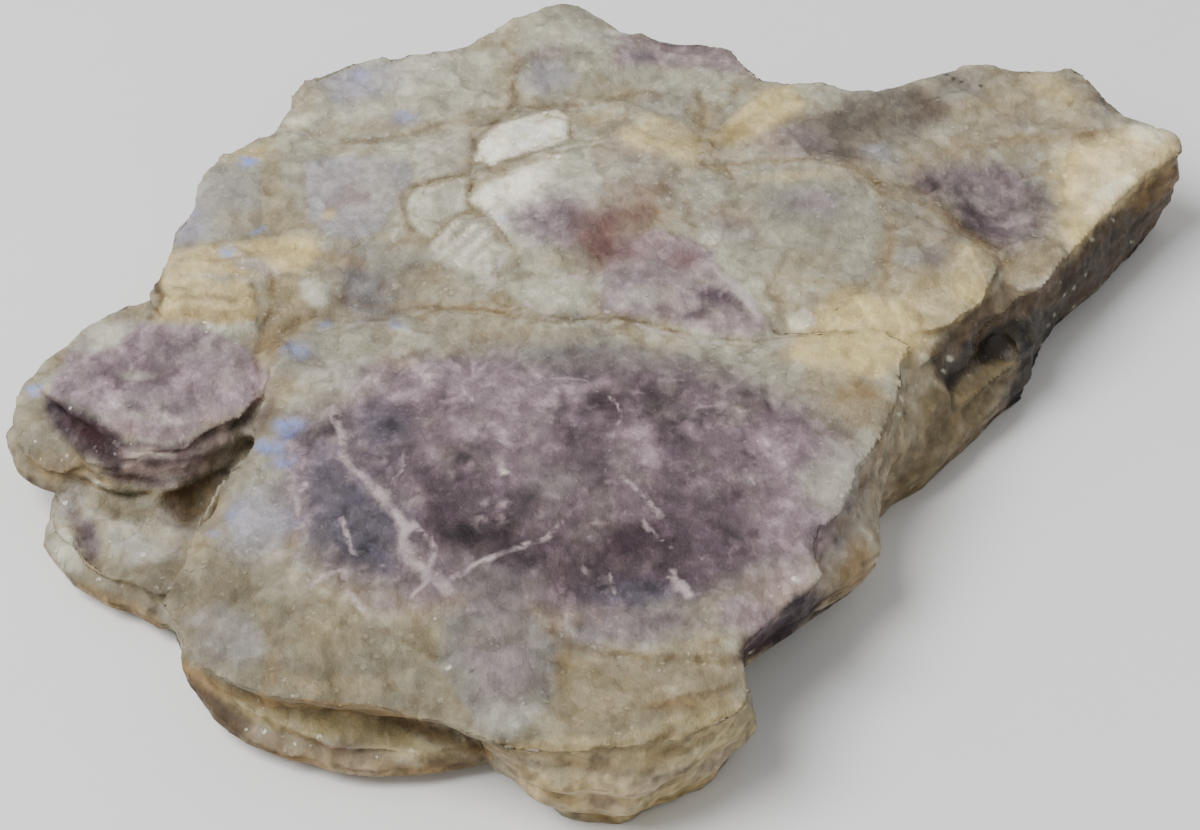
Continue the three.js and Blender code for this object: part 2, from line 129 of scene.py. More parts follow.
# Lines of the plan. Each crack: depth and half width in mm, then its points.
CRACKS = {
    "between the dome and the middle plates": (
        0.45, 0.28,
        ((-27, 4), (-24, 6), (-20, 5.7), (-15, 7.2), (-10, 6.8), (-7, 6), (-3, 4.8), (0, 6.2), (3, 5.5),
         (6, 4), (10, 3), (13, 2.5), (15, 3), (20, 4)),
    ),
    "foot of the back terrace": (
        0.4, 0.5,
        ((-29, 33), (-26, 31.5), (-23, 30.3), (-20, 30.5), (-17, 31.5), (-14, 33.5), (-10, 35.5), (-5, 35.5),
         (0, 36), (3, 37.5), (5, 38)),
    ),
    "around the white plate": (
        0.35, 0.25,
        ((-12, 32), (-10.8, 28.5), (-10, 26.7), (-8, 28), (-5, 30), (-2.5, 31.5), (-3, 33.5), (-7, 35),
         (-9, 33.5), (-12, 32)),
    ),
    "left edge of the middle plate": (
        0.32, 0.26,
        ((2, 31.5), (-1, 30.3), (-5, 29.3), (-8, 27.8), (-11, 26), (-11.3, 25), (-11.8, 21.5), (-9.8, 20),
         (-9, 18), (-7.5, 15), (-7, 12.5), (-5, 10.8), (-2, 11.5)),
    ),
    "small plate on the left": (
        0.26, 0.24,
        ((-12, 25.5), (-15, 24.7), (-16, 22), (-16.5, 19.5), (-14, 18.5), (-12, 21), (-12, 25.5)),
    ),
    "between the red plate and the pink plate": (
        0.25, 0.22,
        ((-1.5, 16), (0, 14), (0.4, 11), (0.2, 8), (0, 6.2)),
    ),
    "crease of the back terrace": (0.2, 0.4, ((-7.5, 36), (-8, 39), (-7.5, 43), (-9.5, 46))),
    "left end of the ochre block": (0.5, 0.3, ((-38, 11), (-37.6, 8), (-38, 5.6))),
    "right end of the ochre block": (0.35, 0.35, ((-28.5, 12), (-28, 8), (-28.4, 4), (-29, 1), (-28, -3))),
    "edge of the raised plate": (
        0.14, 0.6,
        ((10, 27), (14, 27.2), (19, 27.8), (23, 26.4), (25, 24), (28, 23.4), (30, 21.6), (31, 19), (33, 16.5),
         (35, 14.5), (35.6, 12)),
    ),
    "between the ridge and the raised plate": (0.25, 0.4, ((9, 38), (9.5, 34), (9, 30), (11, 27), (12, 24))),
    "crease in the knob, upper": (
        0.25, 0.5,
        ((-10, -42.6), (-9, -43.3), (-5, -43.3), (0, -43.6), (3, -42.5), (7, -42.1), (10, -39.8)),
    ),
    "crease in the knob, lower": (0.35, 0.35, ((3.5, -39.5), (6, -38.4), (8, -37.9), (10, -37))),
    "front of the dome": (0.2, 0.7, ((-4, -31), (-1, -33.6), (4, -34.2), (9, -34.6), (11, -34))),
}

PALE_VEINS = (
    # half width in mm, then its points
    (0.24, ((-19.1, -1.6), (-20.2, -3.7), (-21.2, -5.4), (-21.4, -8.6))),
    (0.34, ((-21.4, -8.6), (-20.9, -11.4), (-19.6, -13.8), (-17.9, -15.6))),
    (0.50, ((-17.9, -15.6), (-16.7, -17.7), (-15.4, -19.5), (-15.4, -21.9))),
    (0.62, ((-15.4, -21.9), (-14.6, -23.7), (-13.2, -25.4), (-11.9, -26.6))),
    (0.26, ((-14.9, -19.5), (-13.5, -21.2), (-12.8, -23), (-13.2, -24.7))),
    (0.20, ((-21.9, -5.4), (-22.3, -6.8), (-21.6, -8.4))),
    (0.20, ((-16, -11), (-16.1, -13.5), (-16.7, -15))),
    (0.22, ((-20.4, -18.8), (-20, -21.2), (-19.1, -23.3))),
    (0.26, ((-23.9, -15), (-24.2, -17.2), (-23.9, -18.8))),
    (0.30, ((-22.3, -26.8), (-21.4, -25.1), (-20.2, -24.7), (-19.5, -27.5), (-18.4, -29.3))),
    (0.26, ((-14.6, -27.5), (-13.5, -26.4), (-11.9, -26.1), (-11, -25.4))),
    (0.30, ((-11, -25.4), (-9.6, -24), (-7.9, -23), (-6.1, -21.9), (-4.4, -21.2), (-3.2, -19.6))),
    (0.18, ((-4.4, -1.9), (-1.2, -2.3), (-0.2, -3.7), (1.2, -5.1), (1.6, -6.8), (1.1, -8.6), (0.7, -11),
            (0.3, -13.8))),
    (0.24, ((1.9, -14), (3.3, -16.0), (4.2, -17.4), (5, -18.8))),
    (0.18, ((-14.2, -1.2), (-14.9, -4))),
    (0.18, ((-11.8, -2.3), (-10.7, -5))),
    (0.20, ((11, -12.4), (12, -13.8), (12.4, -15.2))),
    (0.18, ((8.6, -13.5), (8.9, -14.9), (9.6, -16.1))),
    (0.40, ((5.7, -25), (6.3, -26.4), (6.8, -27.6))),
    (0.22, ((0.8, -25), (1.1, -27.5))),
    (0.24, ((3.4, -19), (4.2, -20.8), (5.4, -22))),
    (0.40, ((10, 12.5), (11, 10.6), (12.2, 9), (13.2, 7), (13.8, 5.4))),
    (0.26, ((12.2, 9), (10.8, 9.6), (10.2, 8.4))),
    (0.26, ((-15, 15), (-13.6, 16.8), (-11.6, 18.4), (-10, 19.3))),
    (0.24, ((-14.4, 13.6), (-12.4, 16), (-10.4, 17.4), (-9.2, 18))),
    (0.22, ((-12.4, 12.6), (-11, 14.8), (-9.4, 16.2))),
    (0.22, ((-9.6, 9.4), (-8.8, 12), (-8.4, 14.5))),
    (0.24, ((3, 4.9), (4.6, 4.0), (6.5, 3.4), (8.4, 2.6), (10, 2.3))),
    (0.26, ((-6.4, 7.6), (-5.4, 6.6), (-4.4, 6.2), (-3.6, 7.0))),
    (0.26, ((-4, 10.4), (-2.6, 11.4), (-1.6, 10.6))),
    (0.22, ((16.4, 5.6), (17.6, 6.6), (18.2, 4.6))),
)

# Coloured stripes: colour, half width in mm, strength, then the points of each
STRIPES = (
    # seams between the plates
    ("seam", 0.3, 0.4, ((-29.5, 31.2), (-27.6, 32), (-25.2, 32), (-22.1, 30.4), (-19.7, 30), (-17.3, 31.1),
      (-14.9, 32.8), (-12.5, 33.6), (-10, 33.2), (-7.6, 34.8), (-4.7, 35.9), (-2.7, 35.8))),
    ("seam", 0.2, 0.75, ((-8.1, 35.6), (-9.9, 32.8), (-11.4, 30.4), (-11.6, 27.6), (-11.6, 23.3), (-11.6, 21))),
    ("seam", 0.2, 0.75, ((-11.3, 25.7), (-9.4, 26.6), (-7.5, 27.7), (-4.6, 29.2), (-2.6, 30.3))),
    ("seam", 0.2, 0.75, ((-17.3, 19.5), (-17.1, 21.8), (-16.5, 23.7), (-14.1, 24.9), (-11.8, 25.3))),
    ("seam", 0.2, 0.75, ((-11.6, 20.9), (-10.2, 19.7), (-8.9, 17.8), (-7.6, 15.2))),
    ("seam", 0.2, 0.75, ((-11.6, 20.6), (-13.4, 18.6), (-14.8, 15.9), (-16.6, 17.8), (-17.3, 19.5))),
    ("seam", 0.3, 0.4, ((-26.8, 28), (-26.4, 24.1), (-25.9, 19.9), (-26.2, 18), (-28.5, 16.9), (-31.7, 16.1),
      (-35.4, 15.4), (-37.7, 15))),
    ("seam", 0.3, 0.4, ((-17.1, 30.4), (-16.7, 24.7), (-17.7, 21.6), (-19, 17.7), (-21.2, 15.7), (-23.7, 16.5))),
    ("seam", 1.2, 0.45, ((-24, 6.3), (-21.7, 5.5), (-18.5, 5.8), (-15.3, 5.5), (-11.6, 4.4), (-7, 4),
                         (-2.9, 3.3))),
    ("umber", 0.35, 0.55, ((-30.1, 11), (-29.6, 8.4), (-28.8, 4.2))),
    ("umber", 0.45, 0.7, ((-38.2, 11.7), (-38.1, 9.2), (-38, 5.5))),
    ("ochre", 0.3, 0.6, ((-37.4, 8.4), (-33.8, 8), (-29.9, 8.4))),
    ("ochre", 0.3, 0.5, ((-37.1, 13.4), (-32.9, 13.5), (-28.3, 14.3))),
    ("crack", 0.35, 0.4, ((-7.9, 43.7), (-7.9, 39.4), (-7.9, 35.8))),
    # streaks of the streaked plate
    ("chalk", 0.28, 0.8, ((-14.6, 14.9), (-12.6, 18.6))),
    ("chalk", 0.28, 0.8, ((-13.8, 13.8), (-11, 18.3))),
    ("chalk", 0.28, 0.8, ((-12.6, 13.1), (-9.9, 17.1))),
    ("chalk", 0.28, 0.8, ((-11.6, 12.5), (-9.1, 15.4))),
    # middle plates
    ("pearl", 0.65, 0.8, ((10.4, 13.9), (11.6, 11.1), (12.8, 8.4), (14.5, 5.6), (15.9, 3.3))),
    ("pearl", 0.35, 0.6, ((11, 25.1), (14.2, 26.4), (18.4, 26.9), (22.1, 26.2), (23.6, 24.3),
      (24.2, 20.9))),
    ("crack", 0.22, 0.7, ((-6.1, 6), (-2.1, 5.5), (1.4, 5.6), (4.4, 5), (7.4, 3.5), (10.4, 2.7),
      (13.4, 2.9), (18.4, 3.5), (21.4, 3.9))),
    # wing and raised plate
    ("ochre", 0.8, 0.35, ((17.1, 26.2), (19.7, 26.5), (22.3, 26.2), (23.5, 24.8), (25.6, 23), (28.1, 22),
      (30.1, 20.2), (31.6, 17.5), (33.6, 15.1), (34.7, 12.8))),
    ("ochre", 0.8, 0.65, ((30.5, 30.3), (35.4, 31.4), (38.4, 30.7), (41.1, 30.3), (43.3, 31.1), (46.5, 32.1))),
    ("ochre", 0.4, 0.5, ((24.8, 24.4), (25.7, 18.9), (24.9, 12.8), (24.3, 9.5), (27, 6.3), (27.6, 1.8))),
    ("umber", 0.5, 0.6, ((46.3, 37.5), (47, 35.1), (48.2, 33.3))),
    # dot behind the raised plate
    ("ochre", 0.4, 0.9, ((10.4, 26.6), (10.7, 26.2))),
    # front
    ("seam", 0.5, 0.7, ((-16.1, -27.4), (-14.1, -30.2), (-12.7, -34.4), (-10.6, -38.7), (-8.7, -42), (-7, -43.2))),
    ("seam", 0.45, 0.6, ((-5.4, -28.9), (-3.2, -32.5), (-2.5, -36.1), (-3.3, -38.6), (-5.1, -41.8), (-7, -43.5))),
    ("ochre", 0.5, 0.5, ((-26, -29.2), (-24.9, -33.5), (-24.8, -36.9), (-25.3, -38.6))),
    ("umber", 0.4, 0.3, ((-7, -43.1), (-3.4, -41.8), (0.2, -42.3), (2.6, -44.1), (5, -42), (8, -39.6),
                         (10.2, -38.6))),
    ("ochre", 0.6, 0.6, ((-4.6, -43.9), (-1, -45.2), (2.5, -45.6), (6.2, -43.2), (9.8, -41.2))),
    ("ochre", 0.5, 0.6, ((-6.4, -45.1), (-2.2, -49), (1.9, -51.2))),
    # book and low lobe
    ("maroon", 0.42, 0.95, ((-38.8, -10.3), (-37.2, -10.1), (-35.4, -10.7), (-33.8, -10.3), (-32.6, -8.9),
                            (-31, -7.8), (-28.4, -6.7))),
    ("blush", 0.6, 0.95, ((-38.3, -11.4), (-36.7, -11.1), (-34.4, -11.5), (-32.8, -10.5), (-30.9, -9.5))),
    ("chalk", 0.25, 0.5, ((-38, -11.5), (-36.7, -11.2), (-34.7, -11.6))),
    ("maroon", 0.35, 0.9, ((-38.6, -12.1), (-36.6, -12.2), (-34.3, -12.4), (-32.4, -11.7))),
    ("blush", 0.5, 0.9, ((-37.9, -13.1), (-35.9, -13.3), (-33.9, -13.1), (-32.2, -13.1))),
    ("maroon", 0.55, 0.9, ((-38.7, -14.1), (-37.2, -14.2), (-35.2, -14.8), (-33.8, -14.4), (-33, -13.7))),
    ("soot", 0.4, 0.8, ((-33.7, -14.7), (-31.8, -14.3), (-29.9, -13.5), (-29.3, -13))),
    ("blush", 0.8, 0.7, ((-39.4, -7.8), (-37.7, -8.6), (-35.6, -9.3), (-33.9, -8.8), (-32.4, -7.5),
                         (-30.5, -6.3))),
    ("umber", 0.6, 0.6, ((-27.1, -4.2), (-27.2, -6.7), (-28, -9.5), (-29, -11.7))),
    ("maroon", 0.4, 0.6, ((-46, -14.4), (-44.5, -15.6), (-42.8, -15.8), (-41.8, -14.7))),
    ("pearl", 0.55, 0.35, ((-39.1, -19.5), (-37.8, -19.9), (-36, -21.8), (-34.9, -22.7))),
    ("umber", 0.45, 0.85, ((-38.8, -27.3), (-37, -27.7), (-34.9, -29.1), (-34.2, -29.5))),
)

# Painted glints: highlights painted in the chalk colour, as x, y and radius in mm
PAINTED_GLINTS = (
    (-3.0, 4.8, 0.35), (-33.6, 11.4, 0.3), (-30.5, 10.6, 0.2), (24.9, -4.7, 0.35), (24.6, -6.6, 0.35),
    (-25.5, -41.7, 0.35), (-14.0, -43.7, 0.4), (-11.5, -35.3, 0.4), (17.4, 5.0, 0.5), (29.3, 0.4, 0.45),
    (28.7, -1.2, 0.35), (-40.5, -14.8, 0.45), (-7.6, -13.5, 0.3), (43.0, 16.2, 0.25), (36.0, 9.4, 0.25),
    (11.4, -33.6, 0.35), (9.0, 28.0, 0.35), (3.0, 41.4, 0.25), (15.2, -25.9, 0.5), (-2.0, -40.6, 0.2),
    (-17.5, 9.6, 0.25), (-20.0, -2.0, 0.25), (42.0, 13.0, 0.2), (38.5, 11.0, 0.2), (2.0, 11.6, 0.3),
    (42.9, 16, 0.22), (41.5, 14.3, 0.16), (40.6, 12.5, 0.19), (39.7, 10.5, 0.22), (39.7, 8.6, 0.16),
    (42, 14.7, 0.19), (45.2, 19, 0.22), (46.2, 20.9, 0.16), (38.7, 6.1, 0.19), (40.7, 9.6, 0.22),
    (43.9, 17.5, 0.16), (38, 4.7, 0.19), (41.9, 11.4, 0.22), (44.1, 14, 0.16), (46.4, 16, 0.19),
    (37.2, 2.1, 0.22), (40.4, 7.2, 0.16),
)

# Black grains in the wing, and painted shade of the hole in the pit: x, y and radius in mm
BLACK_GRAINS_AND_PIT_SHADE = (
    (31.5, 41.0, 0.22), (32.1, 40.5, 0.18), (32.7, 40.0, 0.24), (33.5, 39.4, 0.2), (34.2, 39.0, 0.16),
    (35.1, 38.7, 0.2), (36.0, 38.3, 0.22), (33.0, 41.2, 0.14), (31.0, 2.0, 0.8), (29.0, -2.4, 0.5),
    (33.4, 4.0, 0.4), (-9.8, -35.8, 0.2), (12.6, -35.4, 0.3), (13.2, -34.4, 0.24),
)

# Broad swells and hollows of the upper faces: x, y, half length, half width, turn in degrees, rise in mm
SWELLS = (
    (-32.3, -16.5, 3.6, 3.0, 20, -1.1),
    (-37.1, -20.8, 3.6, 1.6, -42, 0.5),
    (-40.4, -21.7, 1.0, 3.6, 20, -0.6),
    (-34.4, -21.7, 2.4, 1.6, -40, -0.5),
    (-35.5, -26, 5.0, 1.2, 8, 0.5),
    (-37.7, -1.1, 5.0, 3.0, 0, -0.35),
    (-43, -3.1, 2.4, 3.0, 20, 0.3),
    (35.8, 20.9, 4.4, 3.6, -40, -0.5),
    (45.9, 26.5, 5.0, 3.0, 40, 0.35),
    (26.7, 33.8, 7.0, 4.0, 0, -0.4),
    (-21, 9.2, 2.6, 3.6, 10, -0.4),
    (-33.1, 21.8, 5.0, 5.0, 0, 0.3),
    (-10.7, -19.7, 7.0, 4.0, 0, -0.25),
    (-7.8, -36.1, 4.0, 5.0, 0, 0.2),
)

# Blue flashes of the mica, painted sheen: x, y, radius in mm and strength
BLUE_SHEEN_FLASHES = (
    (-46.9, -3.6, 0.8, 0.9), (-25.6, -8.4, 1.4, 0.75), (-26.6, -10.4, 1.2, 0.55), (-25.8, -12.4, 1.1, 0.35),
    (-28.8, -18.5, 0.9, 0.3), (-30.6, -20.6, 0.6, 0.3), (-24.6, -19.4, 1.4, 0.15),
    (-32.1, 27.3, 0.9, 0.85), (-32.3, 14.4, 0.9, 0.7), (-30.2, 17.7, 0.6, 0.5), (-17.9, 34.2, 0.8, 0.35),
    (-22.7, 40.4, 1.1, 0.28), (-23, 4.6, 0.8, 0.35), (-17.3, 5, 0.8, 0.4), (-25.5, 1.5, 1.4, 0.35),
    (-8.7, 19.2, 0.7, 0.4), (-36.3, 20, 0.9, 0.35),
)

# Plates with a clear edge: colour, strength, softness of the edge in mm, rise in mm, outline.
PLATES = {
    "front apron": (
        "dun", 0.75, 2.5, 0.0,
        ((-32, -20), (-28, -22), (-24, -27), (-16, -30.5), (-8, -32), (0, -34), (9, -36), (12, -40), (6, -46),
         (-4, -46), (-14, -43), (-26, -41), (-34, -34)),
    ),
    "left flank of the dome": (
        "stone", 0.6, 2.0, 0.0,
        ((-27, 2), (-22, 4), (-16, 2), (-24, -3), (-27, -12), (-27, -20), (-31, -22), (-30, -12), (-27.5, -4)),
    ),
    "back knob": (
        "stone", 0.4, 0.8, 0.1,
        ((-8.5, 46.5), (-8, 41), (-7.6, 36.6), (0, 36.6), (0.6, 42), (0.6, 48), (-2, 51.5), (-6, 51.5)),
    ),
    "lilac strip": (
        "lilac", 0.7, 0.7, 0.05,
        ((1, 41.5), (6, 42), (11, 40.6), (14, 41), (12.6, 44), (8, 46), (2, 47)),
    ),
    "cream ridge": (
        "cream", 0.7, 0.8, 0.3,
        ((10.4, 31), (12.5, 34.5), (15.5, 38.4), (17.6, 39), (19, 36), (17, 33.5), (14, 31), (11.6, 29.4)),
    ),
    "oval plate": (
        "stone", 0.6, 0.5, 0.12,
        ((-7.4, 15.2), (-6.8, 12.6), (-5, 11), (-2.6, 11.8), (-0.8, 13.2), (-1.2, 15.8), (-4.4, 15.8)),
    ),
    "pale nodules": (
        "pearl", 0.75, 0.6, 0.1,
        ((-8, 10.6), (-5.6, 10.8), (-2.4, 11.4), (-0.6, 9.6), (-1.4, 7.2), (-4, 5.8), (-6.4, 6.4)),
    ),
    "cream plate behind the red one": (
        "cream", 0.6, 1.0, 0.15,
        ((1.8, 31.4), (4.6, 34.4), (7.8, 32.6), (9.6, 29), (8.4, 26.8), (5.4, 28.4), (3, 29.4)),
    ),
    "blush plate": (
        "blush", 0.25, 1.2, 0.0,
        ((-1, 28.8), (2, 30.4), (5.4, 28.8), (6.8, 25), (6, 21), (3, 21.4), (-0.5, 24)),
    ),
    "lilac oval": (
        "lilac", 0.8, 0.35, 0.1,
        ((-3.4, 24.6), (-1.2, 24.8), (0, 22.6), (-1, 20.6), (-3.2, 21.2), (-4, 22.8)),
    ),
    "pink plate": (
        "lilac", 0.72, 0.6, 0.22,
        ((0.3, 10.5), (0.5, 13.4), (2.4, 16.4), (5, 17.6), (8, 16.2), (10, 14.6), (10.4, 11.6), (12, 10),
         (13.4, 7.4), (14.6, 4.6), (13, 3.4), (9.6, 3.4), (5.8, 5.2), (0.2, 6.6)),
    ),
    "raised plate": (
        "stone", 0.8, 0.4, 0.2,
        ((10, 19.6), (11, 24.6), (14.4, 26.6), (18, 27.3), (22, 26.1), (23.6, 24), (24.4, 21.4), (25.3, 17),
         (24.5, 13), (22.6, 10.4), (19.6, 10.6), (13.4, 12.4), (10.6, 15)),
    ),
    "cream shoulder": (
        "cream", 0.8, 1.2, 0.12,
        ((19.6, 8.4), (22.5, 9.4), (25.4, 8), (27.2, 5), (27.4, 2), (26, 0.6), (23, -2), (19, -1.6), (15.6, 0.4),
         (16.6, 4)),
    ),
    "back terrace": (
        "pearl", 0.5, 0.9, 0.0,
        ((-27.6, 39.4), (-24.7, 41.1), (-21.8, 42.4), (-8.3, 44.5), (-8.1, 35.9), (-12.5, 33.8), (-17.3, 31.4),
         (-20.2, 30.3), (-25.7, 32.2), (-29.4, 31.5), (-28.8, 35.3)),
    ),
    "back terrace, blue part": (
        "blue_grey", 0.5, 1.6, 0.0,
        ((-26.6, 39.4), (-24.2, 41.3), (-20.7, 41.5), (-20.1, 37.8), (-23.4, 36.1), (-25.9, 36.5)),
    ),
    "left terrace": (
        "stone", 0.75, 1.0, 0.0,
        ((-36.1, 23.7), (-34.1, 27.9), (-30.4, 31.1), (-26.9, 29.6), (-26.4, 18.6), (-30.8, 16.3),
         (-37.2, 15.2), (-36.7, 19.5)),
    ),
    "left terrace, blue part": (
        "blue_grey", 0.5, 1.4, 0.0,
        ((-35.7, 24.1), (-34, 26.4), (-30.8, 25.3), (-29.9, 21), (-30.9, 17.6), (-34.1, 16.9), (-36.7, 16.5)),
    ),
    "left terrace, beige part": (
        "sand", 0.55, 0.8, 0.05,
        ((-29.9, 22.6), (-28.5, 23.7), (-27, 22.9), (-26.7, 19.5), (-28.6, 18.7), (-29.8, 19.9)),
    ),
    "lilac slope": (
        "blue_grey", 0.55, 0.6, 0.1,
        ((-26.5, 27.1), (-24.4, 27.9), (-20.6, 28.3), (-17.2, 27.9), (-16.8, 24.9), (-17.8, 21.6),
         (-19.1, 17.8), (-21.3, 16), (-23.7, 16.7), (-25.7, 19.3)),
    ),
    "lilac slope, pink middle": (
        "lilac", 0.3, 1.3, 0.0,
        ((-24.5, 25.3), (-21.9, 26.1), (-19.4, 24.5), (-19, 20.6), (-21, 18.7), (-23.9, 19.5)),
    ),
    "plate above the small one": (
        "pearl", 0.6, 0.5, 0.05,
        ((-20.6, 30.3), (-17.3, 30.7), (-12.2, 32.8), (-12, 26.1), (-14.2, 25.4), (-16.4, 24.3), (-17, 28)),
    ),
    "plate above the small one, lilac part": (
        "blush", 0.4, 1.0, 0.0,
        ((-16.7, 29.6), (-13.4, 31.2), (-12.8, 27.2), (-15.1, 26.1)),
    ),
    "small plate": (
        "pearl", 0.95, 0.3, 0.15,
        ((-16.8, 19.5), (-17, 21.6), (-16.3, 23.3), (-14.1, 24.4), (-11.9, 24.7), (-11.8, 21), (-13.5, 19),
         (-14.8, 16.5), (-16, 17.7)),
    ),
    "streaked plate": (
        "pearl", 0.6, 0.4, 0.08,
        ((-15.2, 14.1), (-13.9, 17.1), (-12.1, 19.7), (-10.1, 18.6), (-9.4, 16.3), (-7.7, 15), (-8.6, 12.4),
         (-10.9, 11.7), (-13.2, 12.4)),
    ),
    "white plate": (
        "chalk", 0.95, 0.3, 0.2,
        ((-11.1, 29.6), (-9.6, 32.5), (-6.6, 34.1), (-3.7, 35.1), (-2.7, 33.5), (-3.1, 30.7), (-5.6, 29.1),
         (-8, 27.9), (-9.9, 26.9), (-11.1, 27.4)),
    ),
    "middle plate": (
        "pearl", 0.85, 0.35, 0.15,
        ((-11.4, 21.6), (-10.3, 24), (-7.4, 26.1), (-3.6, 28.7), (-1.2, 28.8), (0.3, 24.9), (-0.2, 18.7),
         (-2.5, 15.6), (-5.4, 15.2), (-7.2, 15.3), (-8.7, 17.8), (-10.1, 19.8)),
    ),
    "middle plate, white part": (
        "chalk", 0.75, 0.9, 0.0,
        ((-11.3, 21.8), (-10.2, 23.8), (-7.4, 26), (-3.6, 28.3), (-4.5, 24.9), (-6.4, 21), (-7.8, 18),
         (-8.6, 18.3), (-9.9, 20.1)),
    ),
    "grey patch below the slope": (
        "grey", 0.55, 1.0, 0.0,
        ((-23.7, 15.4), (-21.3, 15.7), (-19, 16.1), (-15.6, 14.1), (-14.4, 11.2), (-15.4, 8.3), (-19, 7.4),
         (-21, 9.2)),
    ),
    "slate patch": (
        "slate", 0.4, 1.2, 0.0,
        ((-22.4, 11.3), (-20.7, 12.6), (-19.5, 11.2), (-18.8, 7.7), (-20.7, 5.7), (-22.2, 7.7)),
    ),
    "white spot": (
        "pearl", 0.95, 0.35, 0.15,
        ((-26, 10.5), (-24.3, 11.3), (-23.2, 9.9), (-23.1, 7.7), (-24.4, 6.9), (-25.5, 8.4)),
    ),
    "top of the ochre block": (
        "cream", 0.72, 0.6, 0.0,
        ((-37.8, 15), (-34.5, 15.6), (-29.4, 16.5), (-25.6, 16.9), (-24.1, 14.3), (-25.8, 11.9), (-29.7, 11.3),
         (-33.7, 11.6), (-37.8, 11.3)),
    ),
    "ochre block": (
        "cream", 0.7, 0.5, 0.12,
        ((-37.9, 11.2), (-35, 11.2), (-30.3, 10.5), (-29.5, 8.4), (-29.2, 5.5), (-32.1, 4.7), (-34.5, 5.5),
         (-37.8, 5.5)),
    ),
    "ochre slope beside the block": (
        "sand", 0.7, 0.8, 0.0,
        ((-29.2, 11.3), (-26.2, 11.7), (-25, 7.7), (-24, 5.6), (-27.1, 4.2), (-27.5, 0), (-28.4, 2.8)),
    ),
    "blue-grey blob": (
        "grey", 0.4, 0.7, 0.08,
        ((-27.7, -0.1), (-26.7, 3.3), (-24.4, 4.2), (-23.2, 1.4), (-24.3, -2), (-26.6, -1.8)),
    ),
    "raised plate, right part": (
        "grey", 0.35, 1.4, 0.08,
        ((24.9, 21.6), (28.1, 21.6), (30.1, 19.9), (31.6, 17.1), (33.3, 14.8), (34.5, 12.5), (33.5, 11.5),
         (30.4, 12.1), (27, 11.5), (25.2, 14.1), (25.7, 18.2)),
    ),
    "raised plate, beige corner": (
        "cream", 0.5, 1.5, 0.0,
        ((24.3, 9.5), (27, 11.5), (30.7, 11.5), (33.4, 10.8), (32.6, 8.2), (30.3, 5.3), (27.6, 2.5), (25.8, 6.3)),
    ),
    "dark part of the wing": (
        "taupe", 0.8, 1.3, 0.0,
        ((17.4, 33), (21, 35.2), (24.7, 37.5), (29.3, 38.6), (31.9, 36.1), (31.1, 33), (28.8, 31.2),
         (24.2, 29), (22.4, 26.9), (18.1, 28.7)),
    ),
    "sandy part of the wing": (
        "sand", 0.4, 1.0, 0.0,
        ((31.9, 40.5), (35.4, 41.9), (39.8, 40.5), (38.2, 33), (33.3, 32.7), (31.6, 34.9)),
    ),
    "cream corner of the wing": (
        "sand", 0.35, 0.8, 0.05,
        ((39.8, 40.5), (43, 40.8), (45.4, 38.2), (46.2, 33.2), (44.3, 32.1), (39.9, 31.6), (38.4, 33.8)),
    ),
    "purple part of the wing": (
        "mauve", 0.75, 2.0, 0.0,
        ((27.2, 25), (29.5, 26.6), (34.2, 27.4), (37.2, 26.4), (39.6, 23), (40, 19.5), (38.4, 16.3),
         (36, 14.1), (34, 14.9), (32.1, 17.6), (30.2, 20.9), (28.4, 22.9)),
    ),
    "purple part of the wing, dark": (
        "plum", 0.3, 1.2, 0.0,
        ((31.1, 20.9), (33.6, 20.2), (36.7, 21.6), (38.2, 19.5), (36.6, 16.1), (34, 15.5), (32.1, 18.2)),
    ),
    "pale part of the wing": (
        "cream", 0.95, 1.6, 0.08,
        ((41.4, 29), (46.5, 31.4), (50.6, 32.9), (52.6, 30.1), (50.3, 26.7), (47.3, 23.1), (43.8, 18.3),
         (41.2, 14.5), (40.2, 17.5), (41.2, 20.9), (40.7, 25.1)),
    ),
    "pale part of the wing, chalky": (
        "chalk", 0.3, 2.5, 0.0,
        ((44.4, 28.7), (48.6, 30.8), (50.8, 30.8), (48.5, 26.5), (44.9, 21.6), (43, 19.5), (42.6, 23.7)),
    ),
    "olive edge of the wing": (
        "sand", 0.7, 1.0, 0.0,
        ((35.5, 13.5), (39.7, 16.8), (40.8, 14.1), (39.2, 11.3), (35.6, 10), (34.7, 11.1)),
    ),
    "pale plate in front": (
        "blue_grey", 0.3, 1.0, 0.05,
        ((-31.8, -30.1), (-29.8, -28.5), (-26.6, -30.1), (-25.1, -33.5), (-27.4, -35.4), (-30.5, -34.4)),
    ),
    "stone plate in front": (
        "dun", 0.35, 0.8, 0.05,
        ((-25, -30.2), (-19.6, -32), (-18, -36.1), (-21.7, -37.7), (-24.6, -36.1)),
    ),
    "blue-grey plate in front": (
        "grey", 0.75, 0.5, 0.1,
        ((-12.4, -30.2), (-9.8, -28.5), (-5.4, -29.4), (-3.2, -32.8), (-3.5, -37.7), (-5.2, -41), (-7, -42.9),
         (-8.8, -41.8), (-10.7, -38.6), (-12.7, -34.4)),
    ),
    "blue-grey plate in front, lilac middle": (
        "lilac", 0.3, 1.3, 0.0,
        ((-11, -31.8), (-7.9, -30.1), (-4.8, -32.7), (-4.7, -36.9), (-7.1, -41), (-9.5, -38.6)),
    ),
    "sandy plate in front": (
        "sand", 0.5, 0.6, 0.08,
        ((-2.3, -34.5), (0.2, -33.7), (5.1, -33.3), (8.8, -33.7), (10.7, -34.5), (10, -37.7), (5, -40),
         (0.2, -41.8), (-4, -41.8), (-2.7, -37.7)),
    ),
    "book top": (
        "lilac", 0.9, 0.5, 0.0,
        ((-45.8, -4.6), (-44.8, 0.9), (-42.8, 4.1), (-40.5, 5.4), (-37.7, 5.1), (-35.2, 4.6), (-32, 3.5),
